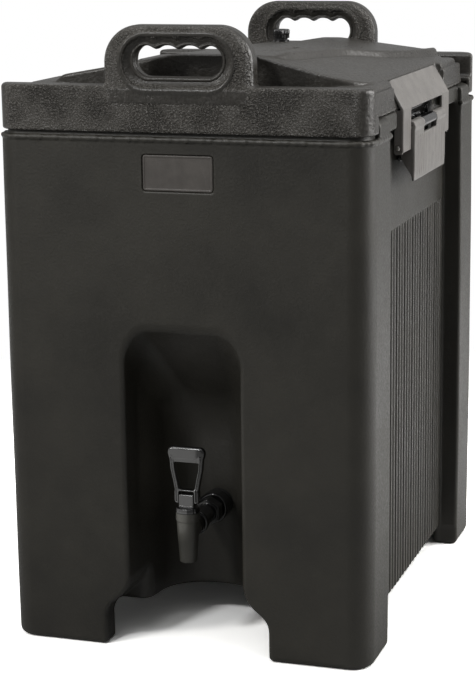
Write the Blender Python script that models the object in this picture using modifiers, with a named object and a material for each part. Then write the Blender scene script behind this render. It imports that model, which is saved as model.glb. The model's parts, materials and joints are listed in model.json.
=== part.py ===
"""Insulated beverage dispenser: a double-wall body (outer shell and tank liner)
with a front alcove and a gravity spigot, a foam-filled lid with two carrying
handles, a vent cap, and an over-centre draw latch on each side.

The scene is in metres, +Z up, -Y is the front (spigot side), +X the right. The
origin is on the floor under the middle of the body. Dimensions are millimetres."""

import math

import bmesh
import bpy
from mathutils import Matrix, Vector

MM = 0.001
GAP = 0.3                      # clearance between neighbouring pieces
FIT = 0.4                      # clearance round the label plate and the gasket
INSET = 0.05                   # keeps the sides of joined pieces from coinciding
SIDES = (("right", 1), ("left", -1))

# ---- body ----
HALF_W, HALF_D = 200.0, 260.0  # outer half width and half depth
CORNER_R = 25.0
BODY_TOP = 550.0
BEAD_OUT, BEAD_BOTTOM = 2.0, 544.0  # bead round the body's top edge
RIM_X, RIM_Y = 194.4, 254.4    # inner rim the lid sits on
RIM_TOP = 566.0
WALL = 5.0                     # skin thickness
UNDERSIDE = 38.0               # height of the moulded underside
SIDE_UNDER = 24.0              # lower edge of the ribbed side walls
COLUMN_Y = 177.0               # the corner columns start here
RECESS_X = 179.0               # face of the side recess
RECESS_TOP = 547.5             # its upper edge, under the overhanging rim
RIB_BOTTOM, RIB_TOP = 20.0, 434.0
RIB_H, RIB_COUNT, RIB_MARGIN = 3.2, 27, 6.0
FOOT_IN_X, FOOT_Y, FOOT_X = 91.0, 230.0, 170.0
FOAM_TOP = 540.0
FOAM_HOLE_Y = 60.0             # filling hole in the underside
LABEL_Z = 512.8
CUT_X = 215.0                  # cutters reach out to here past each side
CUT_LOW, CUT_HIGH = -5.0, 575.0  # and to here past the floor and the rim

# ---- alcove ----
ALCOVE_TOP, ALCOVE_BACK_TOP = 350.0, 238.0
ALCOVE_HALF, ALCOVE_BACK_HALF = 63.0, 47.0
ALCOVE_BACK_Y = -143.0
ALCOVE_CUT_Y, ALCOVE_CUT_Z = -272.0, -6.0  # front and bottom of its cutter
ALCOVE_R = 26.0

# ---- tank ----
TANK_X, TANK_Y = 130.0, 205.0
TANK_FLOOR, TANK_FRONT_LOW = 112.0, -103.0
TANK_SLOPE_HIGH, TANK_SLOPE_LOW = 353.0, 255.0  # ends of the slope over the alcove
TANK_CUT_TOP = 572.0
TANK_R = 4.0
LIP, LIP_T = 5.0, 3.0          # lip of the tank liner, in the rim's top

# ---- lid ----
LID_BOTTOM, LID_LEDGE, LID_DECK = 553.0, 600.0, 572.0
LID_CUT_BOTTOM = 540.0         # cutters start here, below the lid
LID_SEAT = RIM_TOP + 0.5       # underside of the lid over the rim
LID_SIDE_X = 191.0
LID_END_Y = 220.0              # the lid's skirt covers the ends from here
MID_Y = 205.0
SUNK_X, SUNK_Y = 12.0, -35.0   # the sunk floor lies left of and behind these
PLUG_BOTTOM = 545.0
HANDLE_HALF, HANDLE_TOP, HANDLE_T = 79.0, 660.6, 28.0
GRIP_HALF, GRIP_LOW, GRIP_HIGH = 51.0, 609.0, 640.0
FINGERS, FINGER_PITCH, FINGER_DEPTH, FINGER_STEPS = 4, 22.4, 4.8, 4
VENT, VENT_SEAT = (-19.0, 168.0), 616.0  # x and y of the vent; the sunk floor

# ---- side latches (right side; the left is its mirror image) ----
PIVOT = (196.5, 545.0)         # lever pivot, x and z
TOGGLE = (192.0, 525.7)        # pin between lever and bail
BASE_Y, LEVER_Y, BAIL_Y = 62.0, 75.5, 112.0  # half lengths
KNUCKLE_Y = 30.0
LATCH_Y = 121.0                # half length of the cut in lid and rim for a latch
LATCH_CUT_X = (180.0, CUT_X)   # reach of the slots through lever and bail
PIN_R, PIN_BORE_R = 2.5, 2.8
SCREWS = [(-48, 515), (48, 515), (-48, 542), (48, 542)]  # y, z
SCREW_R, SCREW_HEAD_R = 1.6, 4.0
SCREW_FACE, SCREW_TOP = RECESS_X + 4.6, RECESS_X + 6.4

# ---- spigot ----
TAP_Y, SHANK_Z = -247.0, 134.0
SHANK_R, SHANK_HOLE_R = 11.0, 11.4
HANDLE_PIN_Z = 168.0
HANDLE_PIN_R, HANDLE_BORE_R = 1.6, 1.9
STEM_BOTTOM = 121.5


# ------------------------------------------------------------------ helpers
for old in list(bpy.data.objects):
    bpy.data.objects.remove(old, do_unlink=True)


def new_collection(name):
    made = bpy.data.collections.new(name)
    bpy.context.scene.collection.children.link(made)
    return made


PARTS = new_collection("beverage_dispenser")
CUTTERS = new_collection("cutters")


def material(name, colour, roughness, metallic=0.0):
    made = bpy.data.materials.new(name)
    made.use_nodes = True
    node = made.node_tree.nodes["Principled BSDF"]
    node.inputs["Base Color"].default_value = (*colour, 1.0)
    node.inputs["Roughness"].default_value = roughness
    node.inputs["Metallic"].default_value = metallic
    return made


def place(name, mesh):
    piece = bpy.data.objects.new(name, mesh)
    PARTS.objects.link(piece)
    return piece


def mesh_from(name, work):
    """Turn a bmesh into a named mesh."""
    mesh = bpy.data.meshes.new(name)
    work.to_mesh(mesh)
    work.free()
    return mesh


def span(side, inner, outer):
    """Low and high ends of a range given on the + side, on the chosen side."""
    return sorted((side * inner, side * outer))


def mirror(side, points):
    return [(side * x, z) for x, z in points]


def round_outline(points, radii, steps=4):
    """Corner points with a radius at each, as a list of outline points."""
    out = []
    count = len(points)
    if not isinstance(radii, (list, tuple)):
        radii = [radii] * count
    for i, (corner, radius) in enumerate(zip(points, radii)):
        corner = Vector(corner)
        if radius <= 0:
            out.append(tuple(corner))
            continue
        back = (Vector(points[i - 1]) - corner).normalized()
        ahead = (Vector(points[(i + 1) % count]) - corner).normalized()
        half = back.angle(ahead) / 2
        reach = radius / math.tan(half)
        centre = corner + (back + ahead).normalized() * (radius / math.sin(half))
        start = corner + back * reach - centre
        end = corner + ahead * reach - centre
        sweep = math.atan2(start.x * end.y - start.y * end.x, start.dot(end))
        for k in range(steps + 1):
            turn = sweep * k / steps
            cos, sin = math.cos(turn), math.sin(turn)
            out.append((centre.x + start.x * cos - start.y * sin,
                        centre.y + start.x * sin + start.y * cos))
    return out


def rect(half_x, half_y, radius, steps=4, centre=(0.0, 0.0)):
    x, y = centre
    return round_outline([(x - half_x, y - half_y), (x + half_x, y - half_y),
                          (x + half_x, y + half_y), (x - half_x, y + half_y)], radius, steps)


def side_rect(side, inner, outer, half_y):
    """A rectangle on one side, from x = inner to outer, with small corners."""
    return rect((outer - inner) / 2, half_y, 6, 3, (side * (inner + outer) / 2, 0.0))


def curve_mesh(name, curve, matrix):
    """Turn a curve, placed by the matrix, into a clean mesh."""
    drawn = bpy.data.objects.new(name + "_outline", curve)
    CUTTERS.objects.link(drawn)
    drawn.matrix_world = matrix
    bpy.context.view_layer.update()
    graph = bpy.context.evaluated_depsgraph_get()
    mesh = bpy.data.meshes.new_from_object(drawn.evaluated_get(graph))
    mesh.transform(drawn.matrix_world)
    bpy.data.objects.remove(drawn, do_unlink=True)
    work = bmesh.new()
    work.from_mesh(mesh)
    bmesh.ops.remove_doubles(work, verts=work.verts, dist=1e-6)
    bmesh.ops.recalc_face_normals(work, faces=work.faces)
    work.to_mesh(mesh)
    work.free()
    mesh.name = name
    return mesh


# Turns a flat outline so that its normal lies along the axis.
OUTLINE_TURN = {
    "Z": Matrix.Identity(4),
    "Y": Matrix(((1, 0, 0, 0), (0, 0, -1, 0), (0, 1, 0, 0), (0, 0, 0, 1))),
    "X": Matrix(((0, 0, 1, 0), (1, 0, 0, 0), (0, 1, 0, 0), (0, 0, 0, 1))),
}


def prism(name, outline, axis, low, high, hole=None):
    """A flat outline (with an optional hole) drawn as a 2D curve and extruded.
    axis Z: outline in x, y; axis Y: in x, z; axis X: in y, z."""
    curve = bpy.data.curves.new(name, "CURVE")
    curve.dimensions = "2D"
    curve.fill_mode = "BOTH"
    curve.extrude = (high - low) / 2 * MM
    for loop in [outline, hole] if hole else [outline]:
        line = curve.splines.new("POLY")
        line.points.add(len(loop) - 1)
        for point, (across, up) in zip(line.points, loop):
            point.co = (across * MM, up * MM, 0, 1)
        line.use_cyclic_u = True
    middle = (low + high) / 2 * MM
    shift = {"X": (middle, 0, 0), "Y": (0, middle, 0), "Z": (0, 0, middle)}[axis]
    matrix = Matrix.Translation(shift) @ OUTLINE_TURN[axis]
    return place(name, curve_mesh(name, curve, matrix))


def block(name, low, high):
    work = bmesh.new()
    bmesh.ops.create_cube(work, size=1.0)
    size = [(b - a) * MM for a, b in zip(low, high)]
    middle = [(a + b) / 2 * MM for a, b in zip(low, high)]
    bmesh.ops.scale(work, vec=size, verts=work.verts)
    bmesh.ops.translate(work, vec=middle, verts=work.verts)
    return place(name, mesh_from(name, work))


ROD_TURN = {"X": Matrix.Rotation(math.pi / 2, 4, "Y"), "Z": Matrix.Identity(4),
            "Y": Matrix.Rotation(-math.pi / 2, 4, "X")}


def rod(name, radius, axis, centre, low, high, sides=16):
    """A round bar along a world axis; centre gives the two other coordinates."""
    work = bmesh.new()
    bmesh.ops.create_cone(work, cap_ends=True, cap_tris=False, segments=sides,
                          radius1=radius * MM, radius2=radius * MM,
                          depth=(high - low) * MM)
    middle = (low + high) / 2
    where = {"X": (middle, centre[0], centre[1]), "Y": (centre[0], middle, centre[1]),
             "Z": (centre[0], centre[1], middle)}[axis]
    spin = Matrix.Rotation(math.pi / sides, 4, "Z")
    bmesh.ops.transform(work, verts=work.verts, matrix=(
        Matrix.Translation(Vector(where) * MM) @ ROD_TURN[axis] @ spin))
    mesh = mesh_from(name, work)
    mesh.shade_smooth()
    mesh.set_sharp_from_angle(angle=math.radians(40))
    return place(name, mesh)


def turned(name, profile, centre, steps):
    """Profile (radius, z) listed in order, turned about a vertical axis at
    centre. It is closed unless it starts or ends on the axis."""
    mesh = bpy.data.meshes.new(name)
    verts = [(radius * MM, 0, z * MM) for radius, z in profile]
    edges = [(i, i + 1) for i in range(len(verts) - 1)]
    if profile[0][0] > 0 and profile[-1][0] > 0:
        edges.append((len(verts) - 1, 0))
    mesh.from_pydata(verts, edges, [])
    piece = place(name, mesh)
    piece.location = (centre[0] * MM, centre[1] * MM, 0)
    screw = piece.modifiers.new("turn", "SCREW")
    screw.steps = screw.render_steps = steps
    screw.use_merge_vertices = True
    screw.merge_threshold = 0.00001
    screw.use_smooth_shade = True
    return piece


def boolean(piece, tool, operation):
    """Add a boolean; the tool becomes a hidden helper."""
    step = piece.modifiers.new(operation.lower() + "_" + tool.name, "BOOLEAN")
    step.operation = operation
    step.solver = "EXACT"
    step.object = tool
    PARTS.objects.unlink(tool)
    CUTTERS.objects.link(tool)
    tool.hide_render = True
    tool.display_type = "WIRE"


def cut(piece, tool):
    boolean(piece, tool, "DIFFERENCE")


def join(piece, tool):
    boolean(piece, tool, "UNION")


def paint(piece, coat):
    piece.data.materials.append(coat)


def hang(name, where, members):
    """An empty on the joint's axis, with the moving pieces under it."""
    empty = bpy.data.objects.new(name, None)
    PARTS.objects.link(empty)
    empty.location = Vector(where) * MM
    for member in members:
        member.parent = empty
        member.matrix_parent_inverse = Matrix.Translation(-Vector(where) * MM)


# ---------------------------------------------------------------- materials
BLACK_PE = material("black_polyethylene", colour=(0.040, 0.038, 0.034), roughness=0.52)
LID_PE = material("black_polyethylene_lid", colour=(0.045, 0.043, 0.040), roughness=0.50)
LATCH_GREY = material("latch_grey_nylon", colour=(0.27, 0.26, 0.25), roughness=0.42)
GLOSS_BLACK = material("gloss_black_plastic", colour=(0.012, 0.012, 0.012), roughness=0.18)
SPOUT_GREY = material("spout_dark_grey", colour=(0.045, 0.042, 0.040), roughness=0.45)
STEEL = material("stainless_steel", colour=(0.62, 0.62, 0.60), roughness=0.28, metallic=1.0)
RUBBER = material("black_rubber", colour=(0.020, 0.020, 0.020), roughness=0.75)
SILICONE = material("grey_silicone", colour=(0.45, 0.45, 0.44), roughness=0.60)
FOAM = material("insulating_foam", colour=(0.78, 0.70, 0.45), roughness=0.95)
LABEL = material("label_plate", colour=(0.075, 0.072, 0.068), roughness=0.40)
VENT_BLACK = material("vent_black_plastic", colour=(0.02, 0.02, 0.02), roughness=0.35)


# ------------------------------------------------------------- shared shapes
def alcove_wedge(name, grow=0.0):
    """The spigot alcove: a wedge that narrows and drops towards the back."""
    run = ALCOVE_BACK_Y + HALF_D
    drop = (ALCOVE_TOP - ALCOVE_BACK_TOP) / run
    taper = (ALCOVE_HALF - ALCOVE_BACK_HALF) / run
    work = bmesh.new()
    bmesh.ops.create_cube(work, size=2.0)
    for vert in work.verts:
        y = ALCOVE_CUT_Y if vert.co.y < 0 else ALCOVE_BACK_Y + grow
        half = ALCOVE_HALF - taper * (y + HALF_D) + grow
        top = ALCOVE_TOP - drop * (y + HALF_D) + grow * 1.4
        vert.co = (half * MM * (1 if vert.co.x > 0 else -1), y * MM,
                   (top if vert.co.z > 0 else ALCOVE_CUT_Z) * MM)

    def is_soft(edge):
        """Back edges except the bottom one, and the top edges along the sides."""
        first, second = (vert.co for vert in edge.verts)
        at_back = min(first.y, second.y) > -0.2 and max(first.z, second.z) > 0
        along_top = min(first.z, second.z) > 0.1 and first.x * second.x > 0
        return at_back or along_top

    soft = [edge for edge in work.edges if is_soft(edge)]
    bmesh.ops.bevel(work, geom=soft, offset=(ALCOVE_R + grow * 0.5) * MM, segments=4,
                    profile=0.5, affect="EDGES", clamp_overlap=True)
    bmesh.ops.remove_doubles(work, verts=work.verts, dist=1e-6)
    bmesh.ops.triangulate(work, faces=work.faces)
    bmesh.ops.recalc_face_normals(work, faces=work.faces)
    return place(name, mesh_from(name, work))


def tank_block(name, grow=0.0):
    """The tank's shape: full depth above the alcove, shorter below."""
    radius = TANK_R + grow
    side_view = [(TANK_FRONT_LOW - grow, TANK_FLOOR - grow),
                 (TANK_Y + grow, TANK_FLOOR - grow),
                 (TANK_Y + grow, TANK_CUT_TOP), (-TANK_Y - grow, TANK_CUT_TOP),
                 (-TANK_Y - grow, TANK_SLOPE_HIGH - grow),
                 (TANK_FRONT_LOW - grow, TANK_SLOPE_LOW - grow)]
    outline = round_outline(side_view, [radius, radius, 0, 0, radius, TANK_R], 2)
    return prism(name, outline, "X", -TANK_X - grow, TANK_X + grow)


def foam_shape(name, gap):
    """The space between the skins: everything inside the outer skin that is
    not tank, alcove, recess or spigot boss."""
    grow = WALL + gap
    foam = prism(name, rect(HALF_W - grow, HALF_D - grow, CORNER_R - grow), "Z",
                 UNDERSIDE + grow, FOAM_TOP - gap)
    for tag, side in SIDES:
        low, high = span(side, RECESS_X - grow, 230)
        cut(foam, block(name + "_cut_" + tag, (low, -COLUMN_Y - grow, 0),
                        (high, COLUMN_Y + grow, 600)))
    cut(foam, alcove_wedge(name + "_cut_alcove", grow))
    cut(foam, block(name + "_cut_foot_gap", (-97 - gap, -280, 0),
                    (97 + gap, -194 + gap, 92 + gap)))
    cut(foam, tank_block(name + "_cut_tank", grow))
    cut(foam, rod(name + "_cut_boss", 20 + gap, "Y", (0, SHANK_Z), -160, -95, sides=24))
    return foam


def label_outline(clear=0.0):
    return rect(38 - clear, 18.8 - clear, 3 - clear, 2, (0, LABEL_Z))


# --------------------------------------------------------------------- body
# Outlines of the gaps between the feet: x, z, with a radius for each corner.
FRONT_GAP = [(-FOOT_IN_X, CUT_LOW), (FOOT_IN_X, CUT_LOW), (FOOT_IN_X - 1, 43), (71, 58.7),
             (64.5, 84), (-64.5, 84), (-71, 58.7), (-FOOT_IN_X + 1, 43)]
FRONT_GAP_R = [0, 0, 3, 8, 6, 6, 8, 3]
REAR_GAP = [(-FOOT_IN_X, CUT_LOW), (FOOT_IN_X, CUT_LOW),
            (FOOT_IN_X - 14, 30), (-FOOT_IN_X + 14, 30)]
REAR_GAP_R = [0, 0, 10, 10]


def rib_outline(side):
    """Plan view of a side wall's upright ribs."""
    pitch = 2 * (COLUMN_Y - RIB_MARGIN) / RIB_COUNT
    inside, face, crest = (side * x for x in (RECESS_X - 2.5, RECESS_X - 0.4,
                                              RECESS_X + RIB_H))
    wave = [(inside, -COLUMN_Y + 5), (inside, COLUMN_Y - 5)]
    for i in reversed(range(RIB_COUNT)):
        middle = -COLUMN_Y + RIB_MARGIN + pitch * (i + 0.5)
        wave += [(face, middle + pitch * 0.46), (crest, middle + pitch * 0.24),
                 (crest, middle - pitch * 0.24), (face, middle - pitch * 0.46)]
    return wave


def shape_body_side(body, tag, side):
    """Recess with ribs, and the rim cut back for the lid's side and the latch."""
    cut(body, prism("recess_" + tag, side_rect(side, RECESS_X, CUT_X, COLUMN_Y),
                    "Z", CUT_LOW, RECESS_TOP))
    low, high = span(side, 194.2, CUT_X)
    cut(body, block("shoulder_cut_" + tag, (low, -COLUMN_Y + 0.5, 530),
                    (high, COLUMN_Y - 0.5, CUT_HIGH)))
    low, high = span(side, RECESS_X, CUT_X)
    cut(body, block("rim_cut_" + tag, (low, -LATCH_Y - 1, 530),
                    (high, LATCH_Y + 1, CUT_HIGH)))
    join(body, prism("ribs_" + tag, rib_outline(side), "Z", RIB_BOTTOM, RIB_TOP))


def cut_feet(body):
    """Clear the underside, leaving a foot at each corner."""
    cut(body, block("side_under", (-CUT_X, -COLUMN_Y, CUT_LOW), (CUT_X, COLUMN_Y, SIDE_UNDER)))
    cut(body, block("underside", (-FOOT_X, -FOOT_Y, CUT_LOW), (FOOT_X, FOOT_Y, UNDERSIDE)))
    cut(body, prism("front_foot_gap", round_outline(FRONT_GAP, FRONT_GAP_R, 2),
                    "Y", -272, -200))
    cut(body, prism("rear_foot_gap", round_outline(REAR_GAP, REAR_GAP_R, 2), "Y", 200, 272))


def cut_body_inside(body):
    """Alcove, foam cavity, tank and the seat of the liner's lip."""
    cut(body, alcove_wedge("alcove"))
    cut(body, foam_shape("foam_cavity", 0.0))
    seam = WALL + GAP
    cut(body, tank_block("tank_void", seam))
    cut(body, prism("lip_seat", rect(TANK_X + seam + LIP, TANK_Y + seam + LIP, 10), "Z",
                    RIM_TOP - LIP_T - GAP, CUT_HIGH))


def body_shell():
    body = prism("body_shell", rect(HALF_W, HALF_D, CORNER_R, 5), "Z", 0, BODY_TOP - 0.5)
    join(body, prism("rim", rect(RIM_X, RIM_Y, 20), "Z", 530, RIM_TOP))
    join(body, prism("bead", rect(HALF_W + BEAD_OUT, HALF_D + BEAD_OUT, CORNER_R + BEAD_OUT, 5),
                     "Z", BEAD_BOTTOM, BODY_TOP))
    for tag, side in SIDES:
        shape_body_side(body, tag, side)
    cut_feet(body)
    cut_body_inside(body)
    cut(body, rod("shank_hole", SHANK_HOLE_R, "Y", (0, SHANK_Z), -170, -90, sides=20))
    cut(body, rod("foam_hole", 15.0, "Z", (0, FOAM_HOLE_Y), 30, 50, sides=20))
    cut(body, prism("label_recess", label_outline(), "Y", -275, -HALF_D + 2))
    for _, side in SIDES:
        for i, place_yz in enumerate(SCREWS):
            cut(body, rod(f"screw_hole_{side}_{i}", 1.9, "X", place_yz,
                          *span(side, RECESS_X - 4.4, RECESS_X + 6), sides=8))
    paint(body, BLACK_PE)


def tank_liner():
    """The inner wall of the tank. It hangs by its lip from the body's rim."""
    liner = tank_block("tank_liner", WALL)
    cut(liner, block("liner_trim", (-150, -230, RIM_TOP), (150, 230, 580)))
    join(liner, prism("liner_lip", rect(TANK_X + WALL + LIP, TANK_Y + WALL + LIP, 10 - GAP),
                      "Z", RIM_TOP - LIP_T, RIM_TOP))
    cut(liner, tank_block("liner_void"))
    cut(liner, rod("liner_shank_hole", SHANK_HOLE_R, "Y", (0, SHANK_Z), -120, -90, sides=20))
    paint(liner, BLACK_PE)


def foam_fill_plug():
    """Closes the filling hole in the body's underside."""
    profile = [(0, 42.4), (14.6, 42.4), (14.6, 37.7), (18, 37.7), (18, 35.6), (0, 35.6)]
    paint(turned("foam_fill_plug", profile, (0, FOAM_HOLE_Y), 20), GLOSS_BLACK)


def label_plate():
    paint(prism("label_plate", label_outline(FIT), "Y", -HALF_D + 0.5, -HALF_D + 1.7), LABEL)


body_shell()
tank_liner()
paint(foam_shape("foam_body", GAP), FOAM)
foam_fill_plug()
label_plate()


# ---------------------------------------------------------------------- lid
# Front view of the raised middle: x, z.
MID_PROFILE = [(-191, 550), (191, 550), (191, 594), (155, 604), (73, 626), (64, 628.6),
               (-20, 628.6), (-98, 614), (-145, 606), (-191, 595)]
# Seat for the bail's hook on the right side: x, z.
BAIL_SEAT = [(174.5, 600.5), (178.5, 593.3), (178.5, LID_CUT_BOTTOM), (230, LID_CUT_BOTTOM),
             (230, 650), (174.5, 650)]


def finger_grip_hole():
    """The hand hole: a rounded slot whose top edge has four finger hollows."""
    points = round_outline([(-GRIP_HALF, GRIP_HIGH), (-GRIP_HALF, GRIP_LOW),
                            (GRIP_HALF, GRIP_LOW), (GRIP_HALF, GRIP_HIGH)],
                           [0, 16, 16, 0], 4)
    start = FINGERS * FINGER_PITCH / 2
    for k in range(FINGERS * FINGER_STEPS + 1):
        # The end of one hollow is the start of the next; the last one is closed.
        finger = min(k // FINGER_STEPS, FINGERS - 1)
        part = k / FINGER_STEPS - finger
        points.append((start - (finger + part) * FINGER_PITCH,
                       GRIP_HIGH + FINGER_DEPTH * math.sin(math.pi * part)))
    return points


def plug_outline():
    """The part of the lid that drops into the tank's mouth."""
    return rect(TANK_X - 3, TANK_Y - 3, 18)


def gasket_ring(clear=0.0):
    """Outer and inner edge of the gasket or, without clearance, its groove."""
    return (rect(143 - clear, 218 - clear, 18 - clear),
            rect(134 + clear, 209 + clear, 12 + clear))


def shape_lid_top(lid):
    """Raised middle with a sunk floor at its rear left."""
    cut(lid, block("mid_cut", (-CUT_X, -232, LID_DECK), (CUT_X, 232, 620)))
    middle = prism("mid_block", rect(LID_SIDE_X, MID_Y, 42, 4), "Z", 562, 640)
    boolean(middle, prism("mid_profile", MID_PROFILE, "Y", -MID_Y - 5, MID_Y + 5), "INTERSECT")
    join(lid, middle)
    cut(lid, block("rear_left_floor", (-CUT_X, SUNK_Y, VENT_SEAT), (SUNK_X, MID_Y + 6, 660)))


def add_handle(lid, tag, side):
    outline = round_outline([(-HANDLE_HALF, 580), (HANDLE_HALF, 580), (HANDLE_HALF, HANDLE_TOP),
                             (-HANDLE_HALF, HANDLE_TOP)], [0, 0, 39, 39], 7)
    inner = HALF_D - HANDLE_T
    join(lid, prism("handle_" + tag, outline, "Y", *span(side, inner + INSET, HALF_D - INSET)))
    cut(lid, prism("hand_hole_" + tag, finger_grip_hole(), "Y",
                   *span(side, inner - 10, HALF_D + 10)))


def shape_lid_underside(lid):
    """Plug in the tank's mouth, pocket for the rim, groove for the gasket."""
    join(lid, prism("plug_block", plug_outline(), "Z", PLUG_BOTTOM, 568))
    cut(lid, prism("rim_pocket", rect(195, 255, 20.5), "Z", LID_CUT_BOTTOM, LID_SEAT,
                   hole=plug_outline()))
    outer, inner = gasket_ring()
    cut(lid, prism("gasket_groove", outer, "Z", 560, 570, hole=inner))


def shape_lid_side(lid, tag, side):
    """Set the lid's side back between its ends and cut the bail's seat."""
    cut(lid, prism("side_notch_" + tag, side_rect(side, LID_SIDE_X, 220.0, LID_END_Y),
                   "Z", LID_CUT_BOTTOM, 640))
    low, high = span(side, 170.0, 220.0)
    cut(lid, block("skirt_notch_" + tag, (low, -LID_END_Y, LID_CUT_BOTTOM),
                   (high, LID_END_Y, LID_SEAT)))
    cut(lid, prism("bail_seat_" + tag, mirror(side, BAIL_SEAT), "Y", -LATCH_Y, LATCH_Y))


def lid_foam_shape(name, gap):
    """The space inside the lid, clear of the sunk floor and the vent."""
    low, shoulder, top = 551 + gap, 603 - gap, 619 - gap
    skin_side, skin_under = 7, 6
    foam = prism(name, [(-119 + gap, low), (119 - gap, low), (119 - gap, shoulder),
                        (62, top), (-18, top), (-119 + gap, shoulder)], "Y",
                 -192 + gap, 192 - gap)
    cut(foam, block(name + "_cut_floor",
                    (-CUT_X, SUNK_Y - skin_side - gap, VENT_SEAT - skin_under - gap),
                    (SUNK_X + skin_side + gap, 250, 660)))
    cut(foam, rod(name + "_cut_vent", 14 + gap, "Z", VENT, 530, 660))
    return foam


def lid_shell():
    lid = prism("lid_shell", rect(HALF_W, HALF_D, CORNER_R, 5), "Z", LID_BOTTOM, LID_LEDGE)
    shape_lid_top(lid)
    add_handle(lid, "front", -1)
    add_handle(lid, "rear", 1)
    shape_lid_underside(lid)
    for tag, side in SIDES:
        shape_lid_side(lid, tag, side)
    cut(lid, lid_foam_shape("lid_cavity", 0.0))
    cut(lid, rod("vent_hole", 6.3, "Z", VENT, 530, 650))
    cut(lid, rod("lid_foam_hole", 11.0, "Z", (0, 0), 530, 556))
    paint(lid, LID_PE)


def lid_gasket():
    outer, inner = gasket_ring(FIT)
    paint(prism("lid_gasket", outer, "Z", RIM_TOP + GAP, 569.6, hole=inner), SILICONE)


# Small turned pieces: name, material, axis x and y, profile of (radius, z).
LID_TURNED = [
    ("lid_fill_plug", GLOSS_BLACK, (0, 0),
     [(0, 550.4), (10.7, 550.4), (10.7, 544.7), (13.5, 544.7), (13.5, 543.0), (0, 543.0)]),
    ("vent_insert", GLOSS_BLACK, VENT,
     [(3.3, 618.2), (9.5, 618.2), (9.5, 616.3), (5.9, 616.3), (5.9, 546.0), (3.3, 546.0)]),
    ("vent_seal", RUBBER, VENT,
     [(4.2, 620.0), (7.6, 620.0), (7.6, 618.5), (4.2, 618.5)]),
    ("vent_cap", VENT_BLACK, VENT,
     [(0, 631.0), (5.5, 630.8), (9.6, 629.3), (9.6, 627.6), (8.2, 627.4),
      (8.2, 620.3), (2.8, 620.3), (2.8, 600.0), (0, 600.0)]),
]

lid_shell()
paint(lid_foam_shape("lid_foam", GAP), FOAM)
lid_gasket()
for piece_name, coat, axis_xy, profile in LID_TURNED:
    paint(turned(piece_name, profile, axis_xy, 16), coat)


# ------------------------------------------------------------------ latches
# Outlines seen from the front, right side: x, z.
BASE_PLATE = [(RECESS_X + GAP, 505), (RECESS_X + 4.3, 505), (RECESS_X + 4.3, 562),
              (RECESS_X + GAP, 562)]
BASE_ARM = [(RECESS_X + 1, 537), (187, 539), (192, 539.5), (196.5, 538.8), (200.8, 540.7),
            (202.5, 545), (200.8, 549.3), (196.5, 551), (192, 551), (187, 553),
            (RECESS_X + 1, 555)]
LEVER = [(198.4, 487), (201.2, 487), (201.8, 500), (201.8, 540), (202.5, 545), (200.8, 549.3),
         (196.5, 551), (192.2, 549.3), (190.5, 545), (192.2, 540.7), (198.2, 538)]
LEVER_EAR = [(200, 489), (200, 544), (193, 544), (186.5, 532), (185, 520), (187, 510)]
BAIL = [(181, 596), (179.6, 592.9), (192.6, 568.8), (194.8, 565), (194.8, 521), (198, 521),
        (198, 566), (195.6, 570)]
BAIL_FLANGE = [(196.5, 519), (196.5, 565), (188.5, 565), (187.5, 521), (189, 519)]


def pin_bore(name, centre, reach):
    return rod(name, PIN_BORE_R, "Y", centre, -reach, reach, sides=12)


def latch_base(tag, side, pivot):
    """Plate screwed to the recess, with an arm that carries the lever."""
    base = prism("latch_base_" + tag, mirror(side, BASE_PLATE), "Y", -BASE_Y, BASE_Y)
    join(base, prism("arm_" + tag, mirror(side, BASE_ARM), "Y", -KNUCKLE_Y, KNUCKLE_Y))
    cut(base, pin_bore("base_bore_" + tag, pivot, 90))
    for i, place_yz in enumerate(SCREWS):
        cut(base, rod(f"base_screw_{tag}_{i}", 2.2, "X", place_yz,
                      *span(side, 170.0, 190.0), sides=12))
    paint(base, GLOSS_BLACK)


def latch_lever(tag, side, pivot, toggle):
    lever = prism("latch_lever_" + tag, mirror(side, LEVER), "Y", -LEVER_Y, LEVER_Y)
    for end in (-1, 1):
        join(lever, prism(f"ear_{tag}_{end}", mirror(side, LEVER_EAR), "Y",
                          *span(end, LEVER_Y - 5.5, LEVER_Y - INSET)))
    low, high = span(side, *LATCH_CUT_X)
    cut(lever, block("knuckle_slot_" + tag, (low, -KNUCKLE_Y - 1, 533),
                     (high, KNUCKLE_Y + 1, 560)))
    cut(lever, pin_bore("lever_bore_" + tag, pivot, 90))
    cut(lever, pin_bore("toggle_bore_" + tag, toggle, 90))
    paint(lever, LATCH_GREY)
    return lever


def latch_bail(tag, side, toggle):
    """Hooked plate with a window for the lever and a flange at each end."""
    bail = prism("latch_bail_" + tag, mirror(side, BAIL), "Y", -BAIL_Y, BAIL_Y)
    for end in (-1, 1):
        join(bail, prism(f"flange_{tag}_{end}", mirror(side, BAIL_FLANGE), "Y",
                         *span(end, BAIL_Y - 3.5, BAIL_Y - INSET)))
    low, high = span(side, *LATCH_CUT_X)
    cut(bail, block("bail_window_" + tag, (low, -LEVER_Y - 1, 510),
                    (high, LEVER_Y + 1, 564.5)))
    cut(bail, pin_bore("bail_bore_" + tag, toggle, 130))
    paint(bail, LATCH_GREY)
    return bail


def latch_pin(name, centre, half_length):
    pin = rod(name, PIN_R, "Y", centre, -half_length, half_length, sides=12)
    paint(pin, STEEL)
    return pin


def latch_screws(tag, side):
    for i, place_yz in enumerate(SCREWS):
        screw = rod(f"latch_screw_{tag}_{i + 1}", SCREW_R, "X", place_yz,
                    *span(side, RECESS_X - 4.0, SCREW_TOP), sides=8)
        join(screw, rod(f"screw_head_{tag}_{i}", SCREW_HEAD_R, "X", place_yz,
                        *span(side, SCREW_FACE, SCREW_TOP), sides=12))
        paint(screw, STEEL)


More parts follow.
